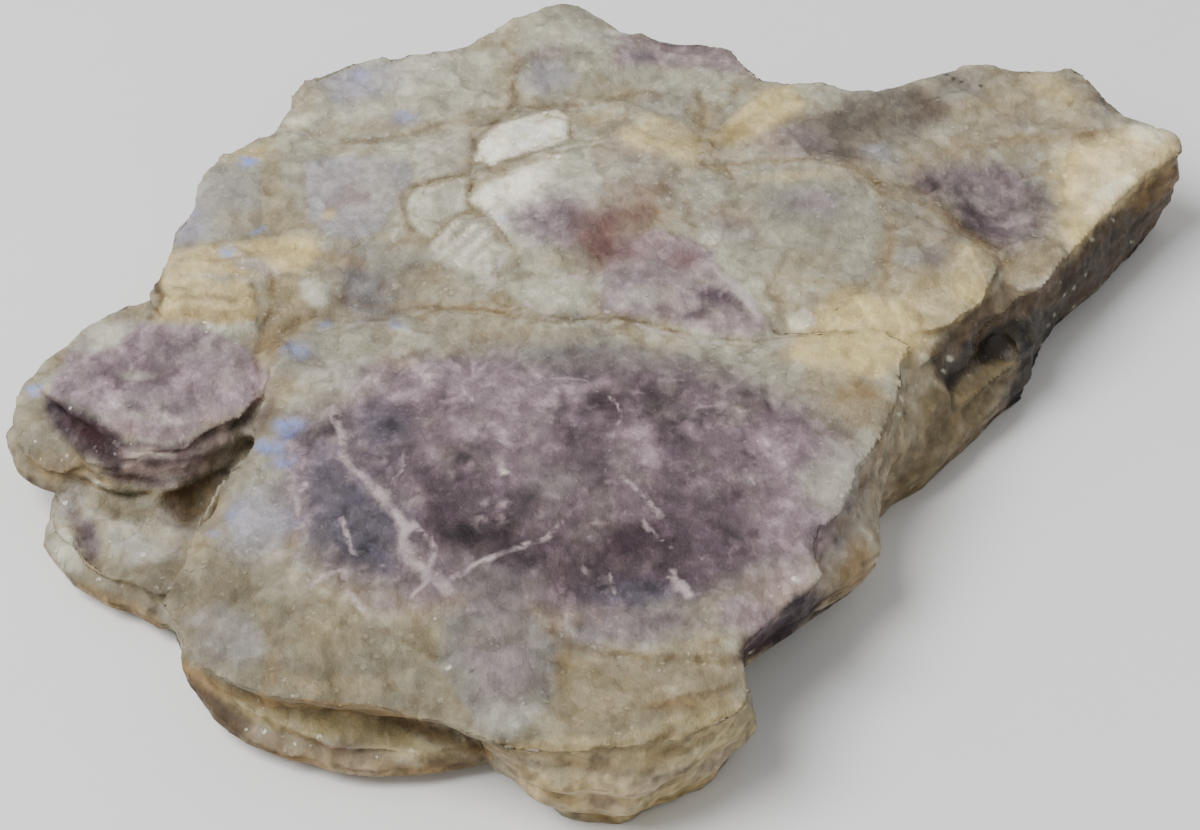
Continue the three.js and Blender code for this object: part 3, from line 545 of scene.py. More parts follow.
         (-29.8, 2), (-27.8, -1.2), (-27.2, -3.7), (-28.5, -5.3), (-30.4, -6.8), (-32.4, -7.8), (-33.9, -9.7),
         (-35.5, -10.1), (-37.6, -9.3), (-39, -8.8), (-40.5, -7.3), (-42.5, -5.8), (-44.5, -4.8)),
    ),
    "book top, dark part": (
        "mauve", 0.75, 1.2, 0.0,
        ((-43, 1.5), (-40.2, 3.1), (-36.8, 3.1), (-34.2, 1.8), (-33, 0), (-34.9, -2.1), (-36.1, -3.7),
         (-38.6, -3.1), (-40.7, -2.6), (-42.6, -2.1)),
    ),
    "pale shell below the book": (
        "dun", 0.6, 0.5, 0.0,
        ((-48.6, -9.5), (-48.7, -6.3), (-47.6, -4.4), (-46.1, -4.7), (-45.3, -6.8), (-44, -8.8),
         (-42.5, -10.1), (-40.9, -11.8), (-39.7, -14), (-40.4, -14.5), (-41.7, -14.6), (-43.2, -15.8),
         (-44.9, -16), (-47.4, -13.6)),
    ),
    "pale shell, ochre part": (
        "ochre", 0.5, 0.8, 0.0,
        ((-47.3, -12.2), (-44.8, -10.9), (-42.4, -11.4), (-40.5, -13.4), (-41.7, -14.3), (-43.3, -14.8),
         (-45.3, -14.5)),
    ),
    "book recess": (
        "wine", 0.9, 0.6, 0.0,
        ((-46, -4.4), (-44.4, -5), (-42.5, -5.9), (-40.8, -7), (-39.2, -8.9), (-38.5, -11.5),
         (-38.4, -14.8), (-39.6, -14), (-41.4, -11.9), (-42.9, -10.4), (-44.3, -8.9), (-45.6, -6.9)),
    ),
    "book recess, maroon core": (
        "maroon", 0.97, 0.9, 0.0,
        ((-43.4, -7), (-41.4, -7.3), (-39.6, -9.4), (-38.8, -12.4), (-39.2, -13.4), (-40.8, -11.4),
         (-42.4, -9.8)),
    ),
    "book, layered front": (
        "mauve", 0.6, 0.35, 0.0,
        ((-39.2, -10.2), (-37.5, -9.8), (-35.5, -10.5), (-33.8, -10.1), (-32.3, -8.8), (-30.4, -7.5),
         (-28.4, -6.3), (-27, -3.8), (-27, -5.8), (-27.6, -8.3), (-28.5, -10.3), (-29.6, -12.3),
         (-29.8, -13.5), (-31.2, -14), (-33.4, -14.5), (-35.3, -15.5), (-37.3, -15.2), (-38.8, -14.5)),
    ),
    "book, brown end of the front": (
        "umber", 0.5, 0.6, 0.0,
        ((-32.3, -12.2), (-31.5, -10.5), (-29.6, -8.7), (-27.8, -6.2), (-27.1, -4.7), (-27.2, -7.2),
         (-28.2, -10), (-29.5, -12.2), (-29.9, -13.5), (-31.4, -13.6)),
    ),
    "low lobe, beige top": (
        "dun", 0.85, 0.8, 0.0,
        ((-41.8, -16), (-38.3, -15.1), (-35.3, -15.6), (-34.7, -17.9), (-36.9, -19.4), (-39.3, -18.4)),
    ),
    "low lobe, brown hollow": (
        "umber", 0.75, 0.8, 0.0,
        ((-35, -16.5), (-33.7, -15.3), (-31.8, -14.4), (-29.8, -13.8), (-29.6, -15.7), (-30.5, -17.6),
         (-32.2, -19.5), (-33.2, -19.9), (-34.5, -18.7)),
    ),
    "low lobe, mauve wedge": (
        "plum", 0.8, 0.6, 0.0,
        ((-42.4, -17.7), (-41, -18.7), (-39.8, -19.8), (-39.1, -22.2), (-39.2, -25.5), (-40.1, -24.1),
         (-41.2, -21.7)),
    ),
    "low lobe, pale left side": (
        "pearl", 0.6, 0.5, 0.0,
        ((-43.4, -21.8), (-42.8, -19.4), (-41.2, -22.4), (-40, -24.5), (-40.3, -25.5), (-41.7, -25),
         (-42.9, -23.6)),
    ),
    "low lobe, sandy rim": (
        "dun", 0.85, 0.8, 0.0,
        ((-41.5, -25.4), (-39.5, -23.8), (-36, -24.4), (-32.4, -23.2), (-31.6, -26.6), (-34.4, -29.2),
         (-37.5, -28), (-40.5, -27)),
    ),
    "low lobe, ochre foot": (
        "ochre", 0.7, 0.5, 0.0,
        ((-40.7, -25.8), (-37, -27.6), (-34.2, -29.6), (-33.4, -31.6), (-36.7, -30.3), (-39.8, -28.1)),
    ),
    "ochre strip beside the lobe": (
        "sand", 0.75, 0.8, 0.0,
        ((-29.9, -13.6), (-28.7, -12.2), (-27.5, -10.2), (-26.8, -6.7), (-26.2, -5.2), (-26.2, -9.2),
         (-27.9, -13.6), (-28.9, -17.9), (-30.5, -21.7), (-31.9, -24), (-32.7, -22.6), (-30.7, -19.4),
         (-29.6, -16.5)),
    ),
    # The dark parts of the right side: partly its dark mica, partly painted shade of the side turned from the
    # light.
    "right side, dark part": (
        "umber", 0.88, 0.5, 0.0,
        ((52.2, 26.9), (49.6, 24.4), (47.1, 21.6), (43.9, 18.5), (41.4, 14.5), (39.4, 11.5), (38.6, 7.6),
         (39.2, 3.7), (41.9, 6.3), (44.5, 10.2), (47, 14.1), (49.1, 16.8), (51.5, 20.9), (52.9, 25.1)),
    ),
    "right side, darkest part": (
        "soot", 0.4, 1.0, 0.0,
        ((40, 11.5), (42.9, 15.5), (45.9, 18.9), (49.1, 20.9), (46.8, 15.5), (43.8, 11.5), (39.8, 5.6),
         (39, 8.2)),
    ),
    "right side, ochre edge": (
        "ochre", 0.75, 0.7, 0.0,
        ((52.7, 28.7), (50.3, 26.7), (47.8, 24.1), (46.4, 21.3), (47.7, 19.9), (49.7, 22), (52, 24.4)),
    ),
    "right side, black part": (
        "soot", 0.8, 0.6, 0.0,
        ((35.1, 3.7), (36.5, 6.3), (38.7, 7.6), (39.9, 4.5), (38.2, 2.5), (37.4, 0), (36.5, -2.8),
         (34.8, -5.8), (33.6, -5.7), (33, -4.3), (34.3, -1.9), (35.2, 0.6)),
    ),
    "right side, ledge below the pit": (
        "olive", 0.85, 0.6, 0.0,
        ((28.9, -3.8), (30.9, -1.4), (32.7, 0.6), (34.7, 1.5), (35.2, 0.8), (34.8, -1.3), (33.8, -3),
         (33, -4.5), (32, -7.3), (29.8, -10.3), (27.2, -13.8), (23.7, -18.1), (23.6, -14.9), (25.4, -10.9),
         (26.6, -7.6), (26.4, -4.9), (27.4, -2.5)),
    ),
    "right side, shoulder": (
        "sand", 0.5, 0.6, 0.0,
        ((24.4, -1.6), (27.2, 0.6), (27.4, -2.2), (26.6, -4.9), (26.7, -7.6), (25.4, -10.9), (23.6, -14.9),
         (23.3, -18.1), (20.6, -18.1), (22.1, -13.2), (24, -8.5), (24.4, -4.9)),
    ),
    # The pit: its dark brown mica, with painted shade laid over its floor and walls, darkest at the foot and outer
    # end.
    "pit": (
        "umber", 0.78, 0.3, 0.0,
        ((27.4, 1.2), (28.9, 3.2), (31.1, 5.8), (33.5, 8.8), (34.7, 10.7), (36, 9.7), (38.5, 9.7), (38.8, 7.9),
         (37.1, 6.6), (35.2, 3.7), (34.7, 1.6), (32.8, 0.6), (31, -1.4), (28.9, -3.8), (27.9, -1.9)),
    ),
    "pit, dark foot": (
        "soot", 0.6, 0.6, 0.0,
        ((27.6, 0.6), (29, 0.3), (30.7, 1.2), (32.4, 1.2), (30.5, -1.3), (29, -3.4), (28.1, -1.9)),
    ),
    "pit, outer end": (
        "soot", 0.75, 0.35, 0.0,
        ((31.6, 2.1), (33.1, 4.2), (35.5, 5.8), (36.8, 5), (36.2, 2.1), (35.4, 0.1), (34.6, -0.2),
         (33.3, 0.2), (31.8, -0.5)),
    ),
    "recess above the lip": (
        "cream", 0.4, 0.5, 0.0,
        ((-31, -35.6), (-27.8, -38), (-23.4, -39.4), (-18.6, -39.9), (-15.5, -41), (-12.4, -43), (-9.1, -44.7),
         (-13.2, -45.1), (-17.2, -43.5), (-21.4, -42.4), (-25.7, -41), (-28.9, -39.2)),
    ),
    "recess above the lip, dark corner": (
        "umber", 0.7, 0.5, 0.0,
        ((-13.5, -44.4), (-11, -44.1), (-9.3, -44.1), (-8, -45.1), (-10.2, -46), (-12.6, -45.5)),
    ),
    "lip": (
        "ochre", 0.55, 0.5, 0.0,
        ((-30.2, -37.7), (-28.6, -39.6), (-25.4, -41.4), (-21.4, -42.8), (-17.1, -43.9), (-13.2, -45.4),
         (-9.3, -45.4), (-9.3, -46.8), (-15.2, -47.1), (-21.2, -45.5), (-26.2, -42.8), (-30.1, -39.6)),
    ),
    "lip, left end": (
        "umber", 0.95, 0.6, 0.0,
        ((-34.1, -30.9), (-31.1, -35.4), (-28.3, -38.6), (-25.7, -40.9), (-26.8, -42.7), (-30, -40.2),
         (-32.9, -35.2)),
    ),
    "strip under the front edge": (
        "ochre", 0.7, 0.35, 0.0,
        ((-33.7, -31.8), (-31.1, -35), (-28.1, -37.1), (-24.7, -38.4), (-19.8, -38.9), (-16.2, -39.4),
         (-12.8, -40.7), (-10.3, -42.7), (-7, -43.6), (-7, -44.4), (-10.6, -43.8), (-13.3, -42),
         (-16.4, -40.5), (-19.8, -40), (-24.6, -39.6), (-28.3, -38.4), (-31.3, -36.2)),
    ),
    "knob, upper side": (
        "cream", 0.3, 0.5, 0.0,
        ((-7.6, -43.6), (-3.4, -42.2), (0.2, -42.3), (5, -40.5), (10, -38.1), (11.4, -39), (11.9, -41.8),
         (8.5, -45.1), (3.7, -45.9), (-2.2, -45.2), (-6.4, -44.7)),
    ),
    "knob, lower side": (
        "cream", 0.35, 0.8, 0.0,
        ((-7, -45.1), (-2.2, -45.5), (3.7, -46.3), (8.5, -45.5), (11.9, -42.2), (10.9, -45.9), (7.2, -49),
         (2.5, -51.7), (-1, -50.9), (-4.5, -48.2)),
    ),
}

# Colour patches with a soft edge, laid on in this order.
# Each: colour, x, y, half length, half width, turn in degrees, strength, softness of the edge.
PATCHES = (
    # back terrace, knob and strip
    ("blue_grey", -22, 39.4, 5, 2.6, 15, 0.55, 0.7),
    ("pearl", -15, 41, 6, 2.4, 18, 0.55, 0.7),
    ("sand", -27, 37, 2, 4, 0, 0.5, 0.8),
    ("sand", -20, 32.4, 5, 1.6, 5, 0.6, 0.7),
    ("stone", -15, 36, 3, 1.6, 10, 0.6, 0.8),
    ("blue_grey", -18, 34, 1.8, 1.4, 0, 0.6, 0.7),
    ("chalk", -27.6, 33, 1.6, 1.4, 40, 0.5, 0.7),
    ("sand", -8.6, 40, 1.0, 4.6, 0, 0.5, 0.8),
    ("mauve", -5, 43.4, 3.4, 1.8, 10, 0.55, 0.8),
    ("blue_grey", -5, 40, 2.6, 2.4, 0, 0.5, 0.7),
    ("pearl", -4.4, 47.4, 3, 2.4, 0, 0.4, 0.9),
    ("lilac", 9, 45, 3, 1.2, -15, 0.5, 0.7),
    ("plum", 9.4, 45, 1.4, 0.6, -15, 0.3, 0.8),
    ("slate", 4, 44, 1.4, 1.4, 0, 0.4, 0.8),
    ("sand", 4, 37.6, 6, 1.2, 5, 0.6, 0.7),
    ("stone", 7, 39.6, 5, 2.2, 0, 0.6, 0.6),
    ("pearl", 9, 39, 3.4, 2, 0, 0.45, 0.8),
    ("grey", 6, 36.6, 3, 2, 0, 0.5, 0.8),
    ("ochre", 12, 31, 2.4, 1.2, 60, 0.5, 0.8),
    ("sand", 9.4, 33.6, 1.4, 3.2, 0, 0.6, 0.8),
    ("sand", -2.4, 34, 2.6, 1.6, 0, 0.5, 0.8),
    # left terrace
    ("stone", -32, 23, 5, 7, 0, 0.5, 0.7),
    ("blue_grey", -36, 18, 1.6, 4, -10, 0.5, 0.8),
    ("sand", -30, 18.6, 5, 2, -8, 0.6, 0.7),
    ("sand", -29.4, 25, 1.2, 5, 5, 0.6, 0.8),
    ("pearl", -27, 30.6, 4, 1.4, 15, 0.5, 0.7),
    ("pearl", -17, 28.6, 5, 1.8, 12, 0.6, 0.7),
    ("pearl", -20, 23, 3.4, 3.4, 0, 0.4, 0.8),
    ("cream", -31.6, 29, 2.4, 1.4, 40, 0.55, 0.8),
    ("blush", -22, 22.6, 1.4, 1.6, 0, 0.5, 0.8),
    ("cream", -23.8, 20.2, 1.2, 0.8, 40, 0.7, 0.7),
    ("slate", -20.4, 9.6, 2.6, 4.2, 12, 0.42, 0.8),
    ("slate", -19, 6.8, 1.8, 1.4, 0, 0.5, 0.8),
    ("sand", -15, 10, 3.6, 2.4, -10, 0.5, 0.8),
    ("ochre", -12, 7, 8, 0.8, -3, 0.5, 0.8),
    ("ochre", -22.6, 13.4, 2.6, 1, -25, 0.55, 0.8),
    ("sand", -26.6, 8, 1.2, 5, 12, 0.6, 0.8),
    ("blue_grey", -29.6, 12.8, 2.4, 1.4, -30, 0.6, 0.7),
    ("umber", -37.8, 9, 0.5, 3.4, 4, 0.8, 0.7),
    ("ochre", -33, 8.6, 4, 0.3, -3, 0.5, 0.8),
    ("ochre", -33, 6.2, 5, 1.0, 0, 0.6, 0.7),
    ("ochre", -27.6, 2.6, 1.6, 3, -20, 0.6, 0.8),
    # middle
    ("lilac", -6.6, 19.6, 2.8, 2.6, 20, 0.6, 0.7),
    ("lilac", -4, 17, 3, 1.6, 0, 0.6, 0.7),
    ("lilac", -3.6, 19.4, 3.2, 4.4, 20, 0.6, 0.7),
    ("mauve", -2.8, 19.2, 2.6, 3.2, 20, 0.7, 0.8),
    ("rose", -1.4, 17.4, 2.2, 2.2, 0, 0.45, 0.8),
    ("rose", 1.0, 18.2, 3.2, 3.8, -10, 0.8, 0.95),
    ("rose", 3.6, 20, 2.6, 2.4, 30, 0.45, 0.95),
    ("rose", 0.2, 14.8, 1.8, 2.8, 0, 0.75, 0.9),
    ("maroon", 0.1, 14.2, 1.2, 2.0, 0, 0.35, 0.9),
    ("rose", 2.4, 24, 2, 2.6, 0, 0.25, 0.8),
    ("pearl", 2.4, 26.2, 2.6, 2.2, 0, 0.5, 0.8),
    ("blush", 5, 15.8, 2.6, 1.2, 0, 0.5, 0.7),
    ("rose", 7.4, 13.6, 1.6, 2.2, -30, 0.55, 0.8),
    ("rose", 2.4, 13.6, 1.4, 1, 0, 0.4, 0.8),
    ("plum", 9.4, 8.2, 2.2, 1.5, 0, 0.85, 0.7),
    ("plum", 9.8, 7.8, 1.8, 1.3, 0, 0.5, 0.8),
    ("mauve", 11.6, 7.8, 1.8, 1.8, 0, 0.6, 0.7),
    ("plum", 8, 5.8, 1.4, 0.9, 20, 0.5, 0.7),
    ("pearl", 12.6, 10.2, 1.4, 3.4, 28, 0.6, 0.6),
    ("pearl", 3.4, 8.6, 2.4, 1.4, 0, 0.4, 0.8),
    ("grey", 2.6, 1.4, 5, 1.6, -10, 0.6, 0.8),
    ("sand", -3.4, 13.4, 2, 1, 0, 0.4, 0.8),
    # raised plate and the east of the middle
    ("grey", 18.4, 21, 4.6, 2.6, -5, 0.7, 0.7),
    ("lilac", 19, 21.6, 2.6, 1.8, 0, 0.5, 0.7),
    ("lilac", 11.6, 18.6, 2, 2.6, 0, 0.5, 0.8),
    ("sand", 18, 13.2, 3, 1.4, 0, 0.5, 0.8),
    ("sand", 24.8, 12.6, 1.4, 5, -8, 0.65, 0.8),
    ("sand", 12, 20.4, 2.4, 2.4, 0, 0.5, 0.8),
    ("cream", 17, 25.2, 4, 0.9, 0, 0.45, 0.8),
    ("blue_grey", 28.6, 14.4, 2.6, 1.4, 0, 0.2, 0.8),
    ("cream", 31.8, 13.4, 2.2, 2.6, -40, 0.55, 0.7),
    ("cream", 31.4, 9.4, 1.6, 1.6, 0, 0.6, 0.7),
    ("sand", 28.4, 10.6, 2.4, 2, 0, 0.4, 0.8),
    ("ochre", 20.6, 8.8, 2.6, 1.2, 20, 0.5, 0.8),
    ("chalk", 17.2, 5.4, 1.0, 1.3, 0, 0.7, 0.6),
    ("sand", 15, 7.4, 2, 2.4, 0, 0.4, 0.8),
    ("stone", 12, -1.4, 8, 3, -10, 0.6, 0.7),
    ("pearl", 14, -3, 3, 1.6, -60, 0.35, 0.8),
    ("sand", 20.6, -4.6, 4, 3, -30, 0.6, 0.7),
    ("ochre", 21.4, -3.6, 1.6, 2.2, -40, 0.5, 0.8),
    ("pearl", 21.4, -11, 1.0, 2.6, -10, 0.5, 0.7),
    # right wing
    ("lilac", 17, 30.4, 3.4, 3, 0, 0.5, 0.8),
    ("taupe", 22.6, 33.4, 3.4, 3, 0, 0.5, 0.8),
    ("umber", 30, 35, 2.4, 2.2, 0, 0.45, 0.8),
    ("taupe", 27, 36.6, 4, 1.6, 15, 0.4, 0.8),
    ("blue_grey", 25, 28.4, 2, 1.6, 0, 0.5, 0.7),
    ("plum", 29, 24, 1.8, 1.6, -40, 0.5, 0.8),
    ("lilac", 35, 25, 3, 1.8, 0, 0.5, 0.8),
    ("wine", 32.8, 18.6, 1.4, 1.4, 0, 0.6, 0.8),
    ("mauve", 34.6, 17, 1.4, 1.6, 0, 0.5, 0.8),
    ("sand", 37, 35, 4, 3, 0, 0.5, 0.8),
    ("grey", 33, 39, 2.6, 2.4, 30, 0.6, 0.8),
    ("cream", 42, 38, 2, 3, 0, 0.4, 0.8),
    ("ochre", 40.4, 31, 5, 0.7, 10, 0.5, 0.8),
    ("ochre", 34, 30, 3, 1, 20, 0.3, 0.9),
    ("mauve", 46, 36.4, 1, 2.4, -20, 0.5, 0.8),
    ("chalk", 50, 31.6, 1.6, 1.8, 0, 0.5, 0.7),
    ("chalk", 46, 23.6, 0.8, 4, -42, 0.5, 0.7),
    # purple dome: ground, then pale and dark areas
    ("mauve", -3, -14, 24.5, 16.6, 0, 0.97, 0.2),
    ("lilac", -11, -2.6, 13, 3.4, -4, 0.75, 0.6),
    ("grey", -1, 0.6, 9, 1.8, -4, 0.6, 0.7),
    ("pearl", -22.4, -2.6, 3.6, 3, 0, 0.25, 0.8),
    ("lilac", -7, -7, 7, 3.6, 0, 0.5, 0.8),
    ("plum", 2.4, -2.4, 5, 2.6, -30, 0.5, 0.8),
    ("slate", -18, -8.6, 2.6, 4, 12, 0.55, 0.8),
    ("slate", -22.6, -14, 2.4, 4.6, 10, 0.6, 0.8),
    ("slate", -18.6, -19.6, 3.4, 6, 10, 0.85, 0.6),
    ("slate", -22, -22, 2.2, 3.4, 0, 0.6, 0.8),
    ("plum", -9.6, -15.6, 6.4, 5, 0, 0.8, 0.7),
    ("wine", -9.6, -20.6, 4.6, 2.6, 0, 0.85, 0.7),
    ("wine", -12.6, -17.6, 2.2, 2.2, 0, 0.6, 0.8),
    ("plum", -3.4, -18, 4, 3.4, 0, 0.6, 0.8),
    ("wine", -3, -22.4, 3.4, 2.4, 0, 0.7, 0.8),
    ("wine", 0.4, -5.8, 1.6, 2.4, -15, 0.85, 0.7),
    ("wine", 5, -4.8, 1.6, 0.8, -20, 0.7, 0.8),
    ("plum", -1.4, -11, 2.4, 5, -5, 0.45, 0.8),
    ("lilac", -6, -12, 4, 3, 0, 0.35, 0.9),
    ("plum", 6.4, -11, 2.2, 2.4, 0, 0.6, 0.8),
    ("wine", 11, -15.4, 1.8, 1.6, 30, 0.75, 0.7),
    ("plum", 8, -17.6, 4, 2.6, 0, 0.7, 0.8),
    ("wine", 3.6, -21.8, 4.8, 3.2, 10, 0.95, 0.7),
    ("wine", -0.6, -25.6, 4.4, 3, 0, 0.8, 0.7),
    ("wine", 5.4, -26, 3.4, 2, 0, 0.6, 0.8),
    ("plum", 8.4, -23.4, 4, 3, 0, 0.7, 0.8),
    ("slate", 3, -27.6, 5, 1.6, 0, 0.6, 0.8),
    ("lilac", 14.8, -11.6, 5, 4.6, 0, 0.8, 0.6),
    ("lilac", 15, -20, 3.4, 4.6, 20, 0.7, 0.7),
    ("pearl", 18.6, -14.4, 2.2, 4, -10, 0.6, 0.7),
    ("lilac", 3, -10.6, 2, 3, 0, 0.5, 0.8),
    ("grey", -3.4, -15, 2.4, 1.8, 0, 0.4, 0.8),
    ("mauve", 2, -31, 6.6, 1.9, 3, 0.7, 0.8),
    ("lilac", 11.4, -29.6, 2.6, 2.4, 0, 0.8, 0.6),
    ("blush", 14.4, -26.4, 3, 2, 35, 0.85, 0.6),
    ("vein", 15, -25.6, 1.6, 0.8, 35, 0.5, 0.8),
    ("lilac", -14, -28.4, 5, 1.8, 0, 0.6, 0.8),
    ("grey", -8.6, -26.8, 3.4, 2.2, 0, 0.6, 0.8),
    ("lilac", -24.6, -12, 1.6, 7, 0, 0.5, 0.8),
    # left and front of the dome
    ("stone", -28.6, -14, 2.4, 8, 4, 0.5, 0.7),
    ("blue_grey", -27.4, -19.6, 3.2, 4, 0, 0.65, 0.7),
    ("sand", -31, -18, 1.4, 4, 20, 0.5, 0.8),
    ("sand", -26.4, -3.4, 1.6, 1.6, 0, 0.6, 0.8),
    ("ochre", -24.4, -22, 0.8, 3, 0, 0.35, 0.9),
    ("sand", -21, -31, 3, 3, 0, 0.5, 0.8),
    ("sand", -13.6, -31.4, 1.6, 3.4, 10, 0.5, 0.8),
    ("ochre", -11.6, -28.6, 2.4, 1, 30, 0.35, 0.9),
    ("ochre", -2.9, -35.4, 0.5, 3.4, -5, 0.5, 0.8),
    ("sand", -20, -37, 5, 1.4, -8, 0.6, 0.8),
    ("pearl", -7.2, -40.4, 2.6, 2.0, 0, 0.6, 0.8),
    ("ochre", 6.4, -38.6, 2.8, 0.8, 12, 0.6, 0.8),
    ("ochre", -8, -43.8, 3, 0.7, -8, 0.6, 0.8),
    ("ochre", 20, -24, 1.6, 3.6, -20, 0.7, 0.7),
    ("wine", 14.2, -30.4, 1.3, 5.6, -45, 0.95, 0.5),
    ("pearl", -42, 3, 2.8, 1.5, 40, 0.8, 0.7),
    ("pearl", -38.6, -1.6, 1.6, 0.8, 0, 0.4, 0.8),
    ("grey", -33, 1.6, 4, 2.4, 0, 0.3, 0.9),
    ("grey", -38, -4.8, 4, 1.4, 0, 0.25, 0.9),
    ("pearl", -37.6, -7.2, 4.2, 0.9, -8, 0.4, 0.8),
    ("maroon", 12.4, -32.4, 0.9, 3, -40, 0.7, 0.7),
)


# Noise and distance helpers on arrays of points
def smoothstep(low, high, x):
    t = np.clip((x - low) / (high - low), 0.0, 1.0)
    return t * t * (3.0 - 2.0 * t)


def hashed(i, j, k, seed):
    """Seeded random number from 0 to 1 for each whole-number cell."""
    h = (i.astype(np.int64) * 374761393 + j.astype(np.int64) * 668265263 + k.astype(np.int64) * 2147483647
         + seed * 1274126177) & 0xFFFFFFFF
    h = ((h ^ (h >> 13)) * 1274126177) & 0xFFFFFFFF
    h = ((h ^ (h >> 16)) * 2246822519) & 0xFFFFFFFF
    return ((h ^ (h >> 15)) & 0xFFFFFF) / float(0xFFFFFF)


def noise(p, size, seed=0):
    """Smooth noise from -1 to 1 with features of about the given size."""
    q = p / size
    cell = np.floor(q).astype(np.int64)
    t = q - cell
    t = t * t * (3.0 - 2.0 * t)
    total = np.zeros(len(p))
    for dx in (0, 1):
        for dy in (0, 1):
            for dz in (0, 1):
                weight = (
                    (t[:, 0] if dx else 1 - t[:, 0])
                    * (t[:, 1] if dy else 1 - t[:, 1])
                    * (t[:, 2] if dz else 1 - t[:, 2])
                )
                total += weight * hashed(cell[:, 0] + dx, cell[:, 1] + dy, cell[:, 2] + dz, seed)
    return total * 2.0 - 1.0


def fractal(p, size, seed=0, octaves=3):
    """Noise from -1 to 1 with finer noise added to it."""
    total, reach = np.zeros(len(p)), 0.0
    for octave in range(octaves):
        total += noise(p, size / 2.1**octave, seed + octave) * 0.55**octave
        reach += 0.55**octave
    return total / reach


def ridged(p, size, seed=0, octaves=3):
    """Noise from 0 to 1 with thin crests."""
    total, reach = np.zeros(len(p)), 0.0
    for octave in range(octaves):
        total += (1.0 - np.abs(noise(p, size / 2.0**octave, seed + octave))) ** 3 * 0.6**octave
        reach += 0.6**octave
    return total / reach


def warped(p, reach, size, seed):
    """The points pushed sideways by noise, so that an edge drawn on them wanders."""
    return p + reach * np.stack([fractal(p, size, seed), fractal(p, size, seed + 31), np.zeros(len(p))], 1)


def distance_to_line(q, line):
    best = np.full(len(q), FAR)
    pts = np.asarray(line, float)
    for a, b in zip(pts[:-1], pts[1:]):
        along = b - a
        t = np.clip(((q - a) @ along) / (along @ along), 0.0, 1.0)
        best = np.minimum(best, np.linalg.norm(q - a - t[:, None] * along, axis=1))
    return best


def depth_inside(q, outline):
    """Distance from each point to the outline, positive inside it."""
    pts = np.asarray(outline, float)
    inside = np.zeros(len(q), bool)
    for a, b in zip(pts, np.roll(pts, -1, axis=0)):
        crosses = (a[1] > q[:, 1]) != (b[1] > q[:, 1])
        rise = b[1] - a[1] if b[1] != a[1] else 1e-9
        inside ^= crosses & (q[:, 0] < a[0] + (q[:, 1] - a[1]) * (b[0] - a[0]) / rise)
    d = distance_to_line(q, (*outline, outline[0]))
    return np.where(inside, d, -d)


def cells(q, size, seed):
    """Paving on the plan: distance to the border, three random numbers and the offset from the middle."""
    base = np.floor(q / size).astype(np.int64)
    zero = np.zeros(len(q), np.int64)
    first = np.full(len(q), FAR)
    second = np.full(len(q), FAR)
    pick = np.zeros((len(q), 2), np.int64)
    offset = np.zeros((len(q), 2))
    for dx in (-1, 0, 1):
        for dy in (-1, 0, 1):
            c = base + (dx, dy)
            centre = np.stack([c[:, 0] + hashed(c[:, 0], c[:, 1], zero, seed),
                               c[:, 1] + hashed(c[:, 0], c[:, 1], zero, seed + 1)], 1) * size
            d = np.linalg.norm(q - centre, axis=1)
            closer = d < first
            second = np.where(closer, first, np.minimum(second, d))
            pick[closer] = c[closer]
            offset[closer] = (q - centre)[closer]
            first = np.where(closer, d, first)
    rand = [hashed(pick[:, 0], pick[:, 1], zero, seed + s) for s in (2, 3, 4)]
    return second - first, rand, offset


# Mesh helpers
def mesh_arrays(mesh):
    """Points, normals and edges of a mesh."""
    p = np.zeros(len(mesh.vertices) * 3)
    mesh.vertices.foreach_get("co", p)
    n = np.zeros(len(mesh.vertices) * 3)
    mesh.vertex_normals.foreach_get("vector", n)
    e = np.zeros(len(mesh.edges) * 2, np.int64)
    mesh.edges.foreach_get("vertices", e)
    return p.reshape(-1, 3), n.reshape(-1, 3), e.reshape(-1, 2)


def put_points(mesh, p):
    mesh.vertices.foreach_set("co", p.ravel())
    mesh.update()


def relax(p, edges, passes, weight=None, step=0.6):
    """Moves each point towards the mean of its neighbours, by its weight."""
    count = np.bincount(edges.ravel(), minlength=len(p)).astype(float)[:, None]
    if weight is None:
        weight = np.ones(len(p))
    pull = (step * weight)[:, None]
    for _ in range(passes):
        total = np.stack(
            [
                np.bincount(edges[:, 0], p[edges[:, 1], axis], len(p))
                + np.bincount(edges[:, 1], p[edges[:, 0], axis], len(p))
                for axis in range(3)
            ],
            1,
        )
        p = p + pull * (total / count - p)
    return p


def to_plan(p):
    return p / MM + PLAN_CENTRE


def from_plan(p):
    return (p - PLAN_CENTRE) * MM


def seen_on_rim(p):
    """Where each plan point appears on the plane of the rim, from the reference view."""
    ray = p - VIEW_POINT
    t = (RIM_PLANE - VIEW_POINT[2]) / ray[:, 2]
    return (VIEW_POINT + ray * t[:, None])[:, :2]


# Surface of the stone, all in plan millimetres
def layers(p, thickness, seed):
    """Cleavage layers of the mica: from -1 to 1, with a crisp step between neighbouring layers."""
    tilt = p[:, 2] + 0.03 * p[:, 0] - 0.02 * p[:, 1] + 0.5 * noise(p * (1, 1, 0.4), 7.0, seed)
    level = tilt / thickness
    k = np.floor(level)
    f = smoothstep(0.78, 1.0, level - k)
    lower, upper = (
        noise(np.stack([p[:, 0] / 6.0, p[:, 1] / 6.0, step * 3.7 + 0.5], 1), 1.0, seed + 1) for step in (k, k + 1)
    )
    return lower * (1 - f) + upper * f


def plate_cells(p, size, seed):
    """The small mica plates of one size, as cells with wandering borders."""
    return cells(warped(p, size * 0.22, size * 0.9, seed)[:, :2], size, seed)


